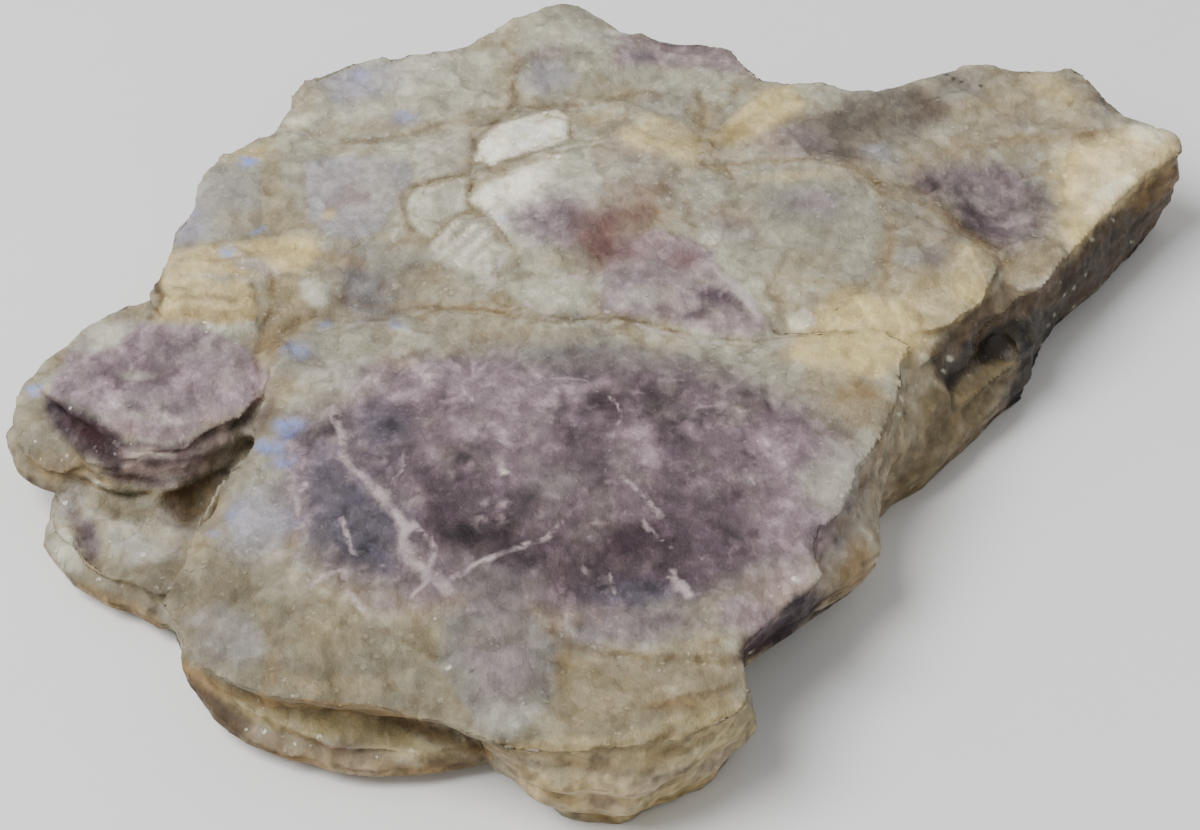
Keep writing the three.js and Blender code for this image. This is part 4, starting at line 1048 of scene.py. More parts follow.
def plate_relief(p, strength):
    """Height of the small mica plates that cover the upper faces."""
    height = np.zeros(len(p))
    for size, rise, tilt, _, seed in MICA_PLATES:
        border, rand, offset = plate_cells(p, size, seed)
        height += rise * (rand[0] - 0.5)
        height += tilt * (offset[:, 0] * (rand[1] - 0.5) + offset[:, 1] * (rand[2] - 0.5)) * 2
        height -= 0.35 * rise * np.exp(-((border / (0.05 * size)) ** 2))
    return height * strength


def crack_depth(p, seen):
    """Depth of the cracks, with their edges made ragged by noise."""
    ragged = 0.5 + 0.5 * fractal(p, 1.6, 41)
    depth = np.zeros(len(p))
    for deep, half_width, line in CRACKS.values():
        d = distance_to_line(seen, line)
        depth = np.maximum(depth, 0.7 * deep * (0.4 + 0.8 * ragged) * np.exp(-((d / (1.3 * half_width)) ** 2)))
    return depth


def oval_reach(q, x, y, half_length, half_width):
    """Squared distance from the middle of an upright oval: 1 on its edge."""
    return ((q[:, 0] - x) / half_length) ** 2 + ((q[:, 1] - y) / half_width) ** 2


def displace(p, n, settings):
    """The surface with plates, swells and cracks in the upper faces and cleavage layers in the sides."""
    seen = seen_on_rim(warped(p, 0.8, 3.0, 51))
    up = smoothstep(0.5, 0.85, n[:, 2])
    side = 1.0 - smoothstep(0.45, 0.8, np.abs(n[:, 2]))
    dome = 1.0 - smoothstep(0.75, 1.1, oval_reach(seen, *DOME))
    height = plate_relief(p, settings.plate_relief * (1.0 - 0.6 * dome))
    height += 0.10 * fractal(p, 1.1, 61) + 0.12 * fractal(p, 4.0, 63)
    height += dome * 0.12 * (ridged(p * (1.0, 0.55, 1.0), 2.4, 65) - 0.5)
    for _, _, softness, rise, outline in PLATES.values():
        if rise:
            edge = 0.5 * softness
            height += rise * smoothstep(-edge, edge, depth_inside(seen, outline))
    for x, y, half_length, half_width, turn, rise in SWELLS:
        height += rise * patch_share(seen, x, y, half_length, half_width, turn, 0.9)
    height -= crack_depth(p, seen)
    out = -settings.layer_relief * (0.5 - 0.5 * layers(p, THICK_LAYER, 71))
    out -= settings.layer_relief * 0.5 * (0.5 - 0.5 * layers(p, THIN_LAYER, 75))
    out += 0.12 * fractal(p, 1.2, 77) + 0.22 * fractal(p, 0.9, 79, 2)
    flat = n * (1.0, 1.0, 0.0)
    flat /= np.maximum(np.linalg.norm(flat, axis=1), 1e-6)[:, None]
    q = p.copy()
    q[:, 2] += up * height
    q += flat * (side * out)[:, None]
    return q


def underside(p, n):
    """The resting face: level where it touches, with shallow flaked hollows between."""
    below = smoothstep(0.6, 0.95, -n[:, 2]) * (1.0 - smoothstep(0.3, 0.9, p[:, 2]))
    q = warped(p, 2.0, 9.0, 81)[:, :2]
    border, rand, _ = cells(q, 11.0, 82)
    hollow = 0.55 * smoothstep(0.5, 0.95, rand[0]) * smoothstep(0.2, 1.2, border)
    border, rand, _ = cells(q, 3.4, 85)
    hollow += 0.18 * smoothstep(0.4, 1.0, rand[0]) * smoothstep(0.05, 0.5, border)
    hollow += 0.06 * (1.0 + fractal(p, 1.3, 88))
    z = p[:, 2] * (1 - below) + hollow * below
    return np.stack([p[:, 0], p[:, 1], np.maximum(z, 0.0)], 1)


# Colours of the stone
def blend(colour, finish, amount):
    return colour + (finish - colour) * np.clip(amount, 0.0, 1.0)[:, None]


def patch_share(q, x, y, half_length, half_width, turn, softness):
    """1 inside a turned oval, 0 outside it."""
    c, s = math.cos(math.radians(turn)), math.sin(math.radians(turn))
    dx, dy = q[:, 0] - x, q[:, 1] - y
    along, across = (dx * c + dy * s) / half_length, (-dx * s + dy * c) / half_width
    r = np.sqrt(along**2 + across**2)
    return 1.0 - smoothstep(1.0 - softness, 1.0 + 0.6 * softness, r)


def dot_share(q, x, y, core, edge):
    """1 within the core radius of a dot, 0 beyond its edge."""
    return 1.0 - smoothstep(core, edge, np.linalg.norm(q - (x, y), axis=1))


def hollows(p, n, edges, passes):
    """How far each point lies below its surroundings, in mm."""
    return np.einsum("ij,ij->i", relax(p, edges, passes) - p, n)


def blotched(p, colour, palette, blotches):
    """The colour with soft blotches of noise laid on it."""
    for name, strength, low, high, size, squash, seed in blotches:
        share = strength * smoothstep(low, high, fractal(p * (1, 1, squash), size, seed))
        colour = blend(colour, palette[name], share)
    return colour


def side_colour(p, colour, palette):
    """Layered sides: sand and ochre bands with brown and lilac lengths, darker towards the right tip, partly for
    its dark mica and partly as painted shade.
    """
    band = 0.5 + 0.5 * layers(p, 0.8, 75)
    edge = blend(colour, palette["sand"], np.full(len(p), 0.5))
    edge = blend(edge, palette["ochre"], 0.8 * smoothstep(0.35, 0.8, band))
    edge = blotched(p, edge, palette, SIDE_BLOTCHES)
    right = smoothstep(27.0, 36.0, p[:, 0]) * (1.0 - smoothstep(28.0, 33.0, p[:, 1]))
    return blend(edge, palette["umber"], 0.75 * right)


def paving(p, colour, palette, share):
    """The small plates of the relief: each has its own tone, and sandy seams run between them."""
    for size, _, _, seam_share, seed in MICA_PLATES:
        border, rand, _ = plate_cells(p, size, seed)
        colour = blend(colour, palette["pearl"], 0.4 * share * smoothstep(0.6, 1.0, rand[1]))
        colour = blend(colour, palette["sand"], 0.35 * share * smoothstep(0.6, 1.0, rand[2]))
        colour = colour * (1.0 + 0.16 * share * (rand[0] - 0.5))[:, None]
        seam = np.exp(-((border / (0.07 * size)) ** 2)) * smoothstep(-0.3, 0.4, fractal(p, 2.0 * size, seed + 3))
        colour = blend(colour, palette["ochre"], seam_share * share * seam)
    return colour


def shaken(p):
    """Where the points are seen on the rim once noise has pushed them, for each kind of traced mark."""
    places = {}
    for mark, pushes in SHAKES.items():
        q = p
        for reach, size, seed in pushes:
            q = warped(q, reach, size, seed)
        places[mark] = seen_on_rim(q)
    return places


def in_view(p, n):
    """1 on the faces that the traced marks belong to, 0 on those turned away from the reference view."""
    to_view = VIEW_POINT - p
    to_view /= np.linalg.norm(to_view, axis=1)[:, None]
    facing = smoothstep(-0.4, -0.15, np.einsum("ij,ij->i", n, to_view))
    return np.maximum(facing, 1.0 - smoothstep(5.0, 8.0, np.linalg.norm(p[:, :2] - PIT_CENTRE, axis=1)))


def traced(p, places, colour, palette):
    """The colour with the plates, patches and stripes of the plan laid on it, and the share of purple."""
    purple = np.zeros(len(p))
    grain = 1.0 + 0.4 * fractal(p, 1.8, 111)
    shares = [
        (name, strength * smoothstep(-softness, softness, depth_inside(places["plates"], outline)))
        for name, strength, softness, _, outline in PLATES.values()
    ]
    shares += [
        (name, strength * patch_share(places["patches"], *oval, softness))
        for name, *oval, strength, softness in PATCHES
    ]
    broken = 0.35 + 0.65 * smoothstep(-0.35, 0.35, fractal(p, 2.2, 131))
    shares += [
        (name, strength * broken * np.exp(-((distance_to_line(places["lines"], line) / half_width) ** 2)))
        for name, half_width, strength, line in STRIPES
    ]
    for name, share in shares:
        share = np.clip(share * grain, 0.0, 1.0)
        colour = blend(colour, palette[name], share)
        purple = purple * (1.0 - share) + share * (name in PURPLE)
    return colour, purple


def mottled(p, colour, purple, palette, settings):
    """The colour with the light and dark flecks and fine threads of the purple mica, and more contrast."""
    lights = smoothstep(0.05, 0.5, fractal(p * GRAIN_STRETCH, 1.3, 113, 4))
    darks = smoothstep(0.05, 0.5, fractal(p * GRAIN_STRETCH, 1.7, 117, 4))
    colour = colour * (1.0 + purple * (0.6 * lights - 0.5 * darks))[:, None]
    light = colour @ (0.21, 0.72, 0.07)
    colour = colour * ((light / settings.middle_tone) ** settings.contrast)[:, None]
    threads = smoothstep(0.66, 0.9, ridged(p, 2.2, 119, 2)) * smoothstep(-0.1, 0.5, fractal(p, 4.0, 121))
    return blend(colour, palette["vein"], 0.35 * purple * threads)


def line_fields(p, places):
    """Fields of the pale veins and of the cracks: 1 on the line, falling to 0 at LINE_REACH half widths."""
    uneven = 0.7 + 0.9 * fractal(p, 1.2, 127)
    vein, crack = np.zeros(len(p)), np.zeros(len(p))
    for half_width, line in PALE_VEINS:
        d = distance_to_line(places["veins"], line)
        strongest = min(1.0, 0.8 + 0.55 * half_width)
        vein = np.maximum(vein, strongest - d / (LINE_REACH * half_width * (0.55 + 0.5 * uneven)))
    for _, half_width, line in CRACKS.values():
        d = distance_to_line(places["lines"], line)
        crack = np.maximum(crack, 1.0 - d / (LINE_REACH * 0.7 * half_width * (0.4 + 0.8 * uneven)))
    return np.clip(vein, 0.0, 1.0), np.clip(crack, 0.0, 1.0)


def paint(p, n, edges, palette, settings):
    """Base colour, and the shares of vein, crack, flash, purple, glass and hollow at each point. The glints are
    painted highlights, the flashes painted sheen, and the hole in the pit and the hollow share painted shade.
    """
    places = shaken(p)
    facing = in_view(p, n)
    upper = smoothstep(0.3, 0.75, np.abs(n[:, 2]))
    colour = blotched(p, np.tile(palette["stone"], (len(p), 1)), palette, GROUND_BLOTCHES)
    colour = blend(side_colour(p, colour, palette), colour, upper)
    hidden = paving(p, colour, palette, upper)
    colour, purple = traced(p, places, hidden, palette)
    colour = mottled(p, colour, purple, palette, settings)
    tone = 1.0 + 0.28 * fractal(p, 1.1, 123, 3) + (0.16 + 0.5 * (1.0 - upper)) * fractal(p, 0.6, 125, 2)
    colour = np.clip(blend(hidden, colour, facing) * tone[:, None], 0.0, 0.92)

    vein, crack = line_fields(p, places)
    flash, glint = np.zeros(len(p)), np.zeros(len(p))
    # Painted sheen: the blue flashes of the mica.
    for x, y, radius, strength in BLUE_SHEEN_FLASHES:
        flash = np.maximum(flash, strength * dot_share(places["patches"], x, y, 0.1 * radius, 1.4 * radius))
    seen = seen_on_rim(p)
    # Painted highlights: the glints, in the chalk colour.
    for x, y, radius in PAINTED_GLINTS:
        glint = np.maximum(glint, dot_share(seen, x, y, 0.2 * radius, 0.9 * radius))
    colour = blend(colour, palette["chalk"], 0.7 * glint * facing)
    # Black grains, and painted shade of the hole in the pit.
    for x, y, radius in BLACK_GRAINS_AND_PIT_SHADE:
        colour = blend(colour, palette["soot"], facing * dot_share(seen, x, y, 0.5 * radius, 1.2 * radius))

    # Painted shade: the hollow share darkens the stone where its surface lies below its surroundings.
    fine = hollows(p, n, edges, 5)
    broad = hollows(p, n, edges, 40)
    hollow = np.clip(fine / 0.10, 0, 1) * 0.6 + np.clip(broad / 0.5, 0, 1) * 0.5
    glass = 1.0 - smoothstep(0.7, 1.2, np.sqrt(oval_reach(places["patches"], *GLASSY_PATCH)))
    glass = glass * smoothstep(0.2, 0.8, 10.5 - p[:, 2])
    one = np.ones(len(p))
    return colour, {
        "Marks": np.stack([vein * facing, crack * facing, flash * facing, one], 1),
        "Finish": np.stack([np.clip(purple * facing, 0, 1), glass, np.clip(hollow, 0, 1), one], 1),
    }


def store_colour(mesh, name, values):
    layer = mesh.attributes.new(name, "FLOAT_COLOR", "POINT")
    layer.data.foreach_set("color", np.ascontiguousarray(values, dtype=np.float32).ravel())


# Shader nodes
class Nodes:
    """Short calls for adding and joining nodes in one tree."""

    def __init__(self, tree):
        self.tree = tree

    def add(self, kind, **settings):
        node = self.tree.nodes.new(kind)
        for key, value in settings.items():
            setattr(node, key, value)
        return node

    def join(self, source, target):
        self.tree.links.new(source, target)

    def math(self, operation, a, b=None, c=None, clamp=False):
        node = self.add("ShaderNodeMath", operation=operation, use_clamp=clamp)
        for socket, value in zip(node.inputs, (a, b, c)):
            if value is None:
                continue
            if isinstance(value, (int, float)):
                socket.default_value = value
            else:
                self.join(value, socket)
        return node.outputs[0]

    def times(self, a, b):
        return self.math("MULTIPLY", a, b)

    def remap(self, value, low, high, out_low=0.0, out_high=1.0):
        node = self.add("ShaderNodeMapRange", interpolation_type="SMOOTHSTEP")
        self.join(value, node.inputs["Value"])
        node.inputs["From Min"].default_value = low
        node.inputs["From Max"].default_value = high
        node.inputs["To Min"].default_value = out_low
        node.inputs["To Max"].default_value = out_high
        return node.outputs["Result"]

    def noise(self, vector, scale, detail=3.0, roughness=0.6):
        node = self.add("ShaderNodeTexNoise")
        self.join(vector, node.inputs["Vector"])
        node.inputs["Scale"].default_value = scale
        node.inputs["Detail"].default_value = detail
        node.inputs["Roughness"].default_value = roughness
        return node.outputs["Fac"]

    def mix(self, fac, a, b, blend_type="MIX"):
        node = self.add("ShaderNodeMix", data_type="RGBA", blend_type=blend_type, clamp_factor=True)
        sockets = {s.identifier: s for s in node.inputs}
        for identifier, value in (("Factor_Float", fac), ("A_Color", a), ("B_Color", b)):
            if isinstance(value, (int, float)):
                sockets[identifier].default_value = value
            elif isinstance(value, (tuple, list, np.ndarray)):
                sockets[identifier].default_value = (*[float(v) for v in value][:3], 1.0)
            else:
                self.join(value, sockets[identifier])
        return {s.identifier: s for s in node.outputs}["Result_Color"]

    def multiply(self, a, b):
        """One colour times another."""
        return self.mix(1.0, a, b, "MULTIPLY")

    def attribute(self, name):
        return self.add("ShaderNodeAttribute", attribute_name=name).outputs["Color"]

    def channels(self, colour):
        node = self.add("ShaderNodeSeparateColor")
        self.join(colour, node.inputs["Color"])
        return [node.outputs[i] for i in ("Red", "Green", "Blue")]

    def grain(self, group, place, size):
        """Places the shared grain, with the size of one grain in mm."""
        node = self.add("ShaderNodeGroup", node_tree=group)
        self.join(place, node.inputs["Position"])
        node.inputs["Grain Size"].default_value = size
        return node.outputs


def new_material(name):
    material = bpy.data.materials.new(name)
    material.use_nodes = True
    material.node_tree.nodes.clear()
    nodes = Nodes(material.node_tree)
    shader = nodes.add("ShaderNodeBsdfPrincipled")
    output = nodes.add("ShaderNodeOutputMaterial")
    nodes.join(shader.outputs["BSDF"], output.inputs["Surface"])
    return material, nodes, shader


def mica_grain_group():
    """Grain shared by the stone and its flakes: tone, pale specks and a small height, from a position."""
    group = bpy.data.node_groups.new("mica grain", "ShaderNodeTree")
    group.interface.new_socket("Position", in_out="INPUT", socket_type="NodeSocketVector")
    group.interface.new_socket("Grain Size", in_out="INPUT", socket_type="NodeSocketFloat")
    for name in ("Tone", "Specks", "Height"):
        group.interface.new_socket(name, in_out="OUTPUT", socket_type="NodeSocketFloat")
    nodes = Nodes(group)
    entry = nodes.add("NodeGroupInput").outputs
    leave = nodes.add("NodeGroupOutput").inputs
    scaled = nodes.add("ShaderNodeVectorMath", operation="SCALE")
    nodes.join(entry["Position"], scaled.inputs[0])
    nodes.join(nodes.math("DIVIDE", 1.0 / MM, entry["Grain Size"]), scaled.inputs["Scale"])
    place = scaled.outputs["Vector"]
    blotch = nodes.noise(place, 0.35, 4.0, 0.65)
    grains = nodes.add("ShaderNodeTexVoronoi")
    nodes.join(place, grains.inputs["Vector"])
    grains.inputs["Scale"].default_value = 0.9
    shade, speck, rise = nodes.channels(grains.outputs["Color"])
    fine = nodes.noise(place, 2.2, 3.0, 0.7)
    tone = nodes.math("ADD", nodes.times(blotch, 0.5), nodes.times(shade, 0.25))
    nodes.join(nodes.math("ADD", tone, nodes.times(fine, 0.25)), leave["Tone"])
    nodes.join(nodes.times(nodes.remap(speck, 0.86, 0.95), nodes.remap(fine, 0.45, 0.65)), leave["Specks"])
    nodes.join(nodes.math("ADD", nodes.times(rise, 0.5), nodes.times(fine, 0.6)), leave["Height"])
    return group


def line_share(nodes, field, place):
    """Turns the stored distance of a vein or crack into an uneven line with a soft, ragged edge."""
    ragged = nodes.math("MULTIPLY_ADD", nodes.noise(place, 1300.0, 4.0, 0.7), 0.5, -0.25)
    line = nodes.remap(nodes.math("ADD", field, ragged), 0.52, 1.02)
    return nodes.times(line, nodes.remap(nodes.noise(place, 500.0), 0.35, 0.62, 0.45, 1.0))


def stone_material(grain, settings, palette):
    """The stone: its painted colours with grain, haze, painted shade in the hollows, stained cracks, veins and
    blue flashes painted as sheen.
    """
    material, nodes, shader = new_material("lepidolite_stone")
    vein, crack, flash = nodes.channels(nodes.attribute("Marks"))
    purple, glass, hollow = nodes.channels(nodes.attribute("Finish"))
    stretch = nodes.add("ShaderNodeMapping")
    nodes.join(nodes.add("ShaderNodeTexCoord").outputs["Object"], stretch.inputs["Vector"])
    stretch.inputs["Scale"].default_value = tuple(GRAIN_STRETCH)
    place = stretch.outputs["Vector"]
    coarse = nodes.grain(grain, place, settings.grain_size * COARSE_GRAIN / MM)
    small = nodes.grain(grain, place, settings.grain_size / MM)

    tone = nodes.mix(nodes.remap(coarse["Tone"], 0.35, 0.65), (0.86, 0.85, 0.84), (1.14, 1.14, 1.13))
    colour = nodes.multiply(nodes.attribute("Tint"), tone)
    tone = nodes.mix(nodes.remap(small["Tone"], 0.3, 0.7), (0.88, 0.87, 0.86), (1.12, 1.12, 1.12))
    colour = nodes.multiply(colour, tone)
    haze = nodes.remap(nodes.noise(place, 1000.0, 5.0, 0.7), 0.5, 0.66)
    colour = nodes.mix(nodes.times(haze, nodes.times(purple, 0.5)), colour, nodes.multiply(colour, HAZE))
    # Painted shade in the hollows, and the stain of the cracks, both made uneven by noise.
    stain_and_shade_strength = nodes.remap(nodes.noise(place, 900.0), 0.3, 0.7, 0.4, 1.0)
    hollow = nodes.times(nodes.times(hollow, 0.35), stain_and_shade_strength)
    colour = nodes.mix(hollow, colour, nodes.multiply(colour, CRACK_STAIN_AND_HOLLOW_SHADE))
    crack = nodes.times(line_share(nodes, crack, place), nodes.times(stain_and_shade_strength, 0.8))
    colour = nodes.mix(crack, colour, nodes.multiply(colour, CRACK_STAIN_AND_HOLLOW_SHADE))
    vein = nodes.times(line_share(nodes, vein, place), VEIN_STRENGTH)
    colour = nodes.mix(vein, colour, palette["vein"])
    # Painted sheen: the blue flashes.
    patchy = nodes.remap(nodes.noise(place, 1000.0), 0.3, 0.62, 0.3, 0.95)
    colour = nodes.mix(nodes.times(flash, patchy), colour, palette["flash"])
    nodes.join(colour, shader.inputs["Base Color"])

    rough = nodes.remap(small["Tone"], 0.3, 0.7, 0.62, 0.40)
    rough = nodes.math("SUBTRACT", rough, nodes.times(glass, 0.3))
    rough = nodes.math("SUBTRACT", rough, nodes.times(small["Specks"], 0.2), clamp=True)
    nodes.join(rough, shader.inputs["Roughness"])
    nodes.join(nodes.times(glass, 0.15), shader.inputs["Coat Weight"])
    shader.inputs["Coat Roughness"].default_value = 0.25
    shader.inputs["IOR"].default_value = 1.5
    shader.inputs["Specular IOR Level"].default_value = 0.25

    height = nodes.math("ADD", small["Height"], nodes.times(coarse["Height"], 0.5))
    height = nodes.math("ADD", height, nodes.times(nodes.noise(place, 700.0, 5.0, 0.7), 2.4))
    bump = nodes.add("ShaderNodeBump")
    bump.inputs["Strength"].default_value = 0.65
    bump.inputs["Distance"].default_value = 0.00016
    nodes.join(height, bump.inputs["Height"])
    nodes.join(bump.outputs["Normal"], shader.inputs["Normal"])
    return material


def flake_material(grain, settings, palette):
    """Mica flakes: the colour of the stone below them, a little paler and much glossier."""
    material, nodes, shader = new_material("mica_flake")
    place = nodes.add("ShaderNodeTexCoord").outputs["Object"]
    tone = nodes.grain(grain, place, settings.grain_size / MM)["Tone"]
    vein, _, _ = nodes.channels(nodes.attribute("Marks"))
    paler = nodes.mix(nodes.remap(tone, 0.35, 0.65), (1.0, 0.99, 0.98), (1.25, 1.25, 1.26))
    colour = nodes.multiply(nodes.attribute("Tint"), paler)
    vein = nodes.times(line_share(nodes, vein, place), VEIN_STRENGTH)
    nodes.join(nodes.mix(vein, colour, palette["vein"]), shader.inputs["Base Color"])
    nodes.join(nodes.remap(tone, 0.3, 0.7, 0.34, 0.2), shader.inputs["Roughness"])
    shader.inputs["Coat Weight"].default_value = 0.15
    shader.inputs["IOR"].default_value = 1.56
    shader.inputs["Specular IOR Level"].default_value = 0.4
    return material


def above(nodes, value, least):
    """True where the value is greater than the least one."""
    node = nodes.add("FunctionNodeCompare", data_type="FLOAT", operation="GREATER_THAN")
    nodes.join(value, node.inputs["A"])
    node.inputs["B"].default_value = least
    return node.outputs["Result"]


def up_share(nodes, vector):
    """The upward part of a vector."""
    node = nodes.add("ShaderNodeSeparateXYZ")
    nodes.join(vector, node.inputs["Vector"])
    return node.outputs["Z"]


def random_value(nodes, kind, low, high, seed):
    node = nodes.add("FunctionNodeRandomValue", data_type=kind)
    for name, value in (("Min", low), ("Max", high)):
        nodes.join(value, [i for i in node.inputs if i.name == name and i.enabled][0])
    nodes.join(seed, node.inputs["Seed"])
    return [o for o in node.outputs if o.enabled][0]


def flake_scatter(material):
    """Geometry Nodes: thin six-sided flakes scattered over a given stone, each lying nearly flat on it."""
    tree = bpy.data.node_groups.new("mica flakes", "GeometryNodeTree")
    tree.interface.new_socket("Geometry", in_out="INPUT", socket_type="NodeSocketGeometry")
    for name, kind in (("Stone", "NodeSocketObject"), ("Density", "NodeSocketFloat"),
                       ("Smallest", "NodeSocketFloat"), ("Largest", "NodeSocketFloat"),
                       ("Tilt", "NodeSocketFloat"), ("Seed", "NodeSocketInt")):
        tree.interface.new_socket(name, in_out="INPUT", socket_type=kind)
    tree.interface.new_socket("Geometry", in_out="OUTPUT", socket_type="NodeSocketGeometry")
    nodes = Nodes(tree)
    entry = nodes.add("NodeGroupInput").outputs
    leave = nodes.add("NodeGroupOutput").inputs

    ground = nodes.add("GeometryNodeObjectInfo")
    nodes.join(entry["Stone"], ground.inputs["Object"])
    normal = nodes.add("GeometryNodeInputNormal").outputs["Normal"]
    level = above(nodes, up_share(nodes, normal), LEAST_FLAKE_SLOPE)
    position = nodes.add("GeometryNodeInputPosition").outputs["Position"]
    clear = above(nodes, up_share(nodes, position), LOWEST_FLAKE)
    both = nodes.add("FunctionNodeBooleanMath", operation="AND")
    nodes.join(level, both.inputs[0])
    nodes.join(clear, both.inputs[1])
    points = nodes.add("GeometryNodeDistributePointsOnFaces")
    nodes.join(ground.outputs["Geometry"], points.inputs["Mesh"])
    nodes.join(both.outputs["Boolean"], points.inputs["Selection"])
    nodes.join(entry["Density"], points.inputs["Density"])
    nodes.join(entry["Seed"], points.inputs["Seed"])

    flake = nodes.add("GeometryNodeMeshCylinder", fill_type="NGON")
    flake.inputs["Vertices"].default_value = 6
    flake.inputs["Radius"].default_value = 1.0
    flake.inputs["Depth"].default_value = FLAKE_THICKNESS
    size = random_value(nodes, "FLOAT", entry["Smallest"], entry["Largest"], entry["Seed"])
    ends = []
    for sign in (-1.0, 1.0):
        reach = nodes.add("ShaderNodeCombineXYZ")
        share = nodes.times(entry["Tilt"], sign)
        nodes.join(share, reach.inputs["X"])
        nodes.join(share, reach.inputs["Y"])
        reach.inputs["Z"].default_value = sign * math.pi
        ends.append(reach.outputs["Vector"])
    tilt = random_value(nodes, "FLOAT_VECTOR", *ends, nodes.math("ADD", entry["Seed"], 1.0))
    turned = nodes.add("FunctionNodeRotateRotation", rotation_space="LOCAL")
    nodes.join(points.outputs["Rotation"], turned.inputs["Rotation"])
    nodes.join(tilt, turned.inputs["Rotate By"])

    scatter = nodes.add("GeometryNodeInstanceOnPoints")
    nodes.join(points.outputs["Points"], scatter.inputs["Points"])
    nodes.join(flake.outputs["Mesh"], scatter.inputs["Instance"])
    nodes.join(turned.outputs["Rotation"], scatter.inputs["Rotation"])
    nodes.join(size, scatter.inputs["Scale"])
    real = nodes.add("GeometryNodeRealizeInstances")
    nodes.join(scatter.outputs["Instances"], real.inputs["Geometry"])
    finish = nodes.add("GeometryNodeSetMaterial")
    nodes.join(real.outputs["Geometry"], finish.inputs["Geometry"])
    finish.inputs["Material"].default_value = material
    nodes.join(finish.outputs["Geometry"], leave["Geometry"])
    return tree


# Settings that a user would change
def finish_colour(name, description, default):
    return bpy.props.FloatVectorProperty(
        name=name, description=description, default=default, size=3, min=0.0, max=1.0, subtype="COLOR")


class LepidoliteColourSettings(bpy.types.PropertyGroup):
    stone: finish_colour("Stone", "Grey-beige mica of the slab", (0.319, 0.301, 0.233))
    sand: finish_colour("Sand", "Sandy areas and layers", (0.296, 0.233, 0.129))
    cream: finish_colour("Cream", "Cream shoulders and the ochre block", (0.603, 0.476, 0.210))
    chalk: finish_colour("Chalk", "White plate and bright glints", (0.840, 0.786, 0.640))
    pearl: finish_colour("Pearl", "Pale grey plates", (0.479, 0.458, 0.369))
    grey: finish_colour("Grey", "Grey patches", (0.189, 0.174, 0.159))
    taupe: finish_colour("Taupe", "Dark part of the wing", (0.144, 0.120, 0.100))
    blue_grey: finish_colour("Blue Grey", "Cool patches", (0.315, 0.301, 0.373))
    lilac: finish_colour("Lilac", "Pale purple mica", (0.262, 0.195, 0.226))
    blush: finish_colour("Blush", "Pinkish haze", (0.343, 0.240, 0.229))
    mauve: finish_colour("Mauve", "Purple of the dome", (0.152, 0.112, 0.129))
    plum: finish_colour("Plum", "Deeper purple", (0.099, 0.070, 0.085))
    slate: finish_colour("Slate", "Bluish purple on the left of the dome", (0.094, 0.085, 0.117))
    wine: finish_colour("Wine", "Darkest purple", (0.060, 0.037, 0.048))
    maroon: finish_colour("Maroon", "Red-brown recess of the book", (0.042, 0.008, 0.011))
    rose: finish_colour("Rose", "Reddish patch in the middle", (0.188, 0.097, 0.094))
    ochre: finish_colour("Ochre", "Stains, seams and side layers", (0.243, 0.154, 0.062))
    dun: finish_colour("Dun", "Brownish grey of the front", (0.188, 0.162, 0.103))
    seam: finish_colour("Seam", "Grey-brown seams between the plates", (0.190, 0.152, 0.088))
    olive: finish_colour("Olive", "Olive brown of the ledge on the right", (0.170, 0.125, 0.058))
    umber: finish_colour("Umber", "Brown of the right side and the pit", (0.095, 0.057, 0.028))
    soot: finish_colour("Soot", "Nearly black grains and hollows", (0.022, 0.017, 0.014))
    vein: finish_colour("Vein", "Pale veins", (0.560, 0.450, 0.450))
    crack: finish_colour("Crack", "Stain in cracks and hollows", (0.161, 0.110, 0.050))
    flash: finish_colour("Flash", "Blue flashes of the mica", (0.200, 0.330, 0.850))


class LepidoliteStoneSettings(bpy.types.PropertyGroup):
    mesh_size: bpy.props.FloatProperty(
        name="Mesh Size", description="Edge length of the rebuilt surface", default=0.00034,
        min=0.0002, max=0.002, precision=5, unit="LENGTH")
    triangle_limit: bpy.props.IntProperty(
        name="Triangle Limit", description="Most triangles that the finished stone may have", default=194000,
        min=20000, max=199000)
    plate_relief: bpy.props.FloatProperty(
        name="Plate Relief", description="Strength of the small mica plates on the upper faces", default=1.0,
        min=0.0, max=3.0, subtype="FACTOR")
    layer_relief: bpy.props.FloatProperty(
        name="Layer Relief", description="Depth of the cleavage layers in the sides, in millimetres", default=0.55,
        min=0.0, max=1.5)
    contrast: bpy.props.FloatProperty(
        name="Contrast", description="How much light areas are lightened and dark ones darkened", default=0.22,
        min=0.0, max=1.0, subtype="FACTOR")
    middle_tone: bpy.props.FloatProperty(
        name="Middle Tone", description="Lightness that the contrast leaves as it is", default=0.30, min=0.05,
        max=1.0)
    grain_size: bpy.props.FloatProperty(
        name="Grain Size", description="Size of the fine mica grains in the finish", default=0.0006,
        min=0.0001, max=0.003, precision=5, unit="LENGTH")


class LepidoliteFlakeSettings(bpy.types.PropertyGroup):
    density: bpy.props.FloatProperty(
        name="Density", description="Flakes per square metre of upper face", default=500000.0, min=0.0,
        max=900000.0)
    smallest: bpy.props.FloatProperty(
        name="Smallest", description="Radius of the smallest flakes", default=0.00008, min=0.00005, max=0.001,
        precision=5, unit="LENGTH")
    largest: bpy.props.FloatProperty(
        name="Largest", description="Radius of the largest flakes", default=0.00028, min=0.0001, max=0.002,
        precision=5, unit="LENGTH")
    tilt: bpy.props.FloatProperty(
        name="Tilt", description="Most that a flake leans from the surface", default=math.radians(7.0), min=0.0,
        max=math.radians(40.0), subtype="ANGLE")
    seed: bpy.props.IntProperty(name="Seed", description="Seed of the scatter", default=7, min=0)


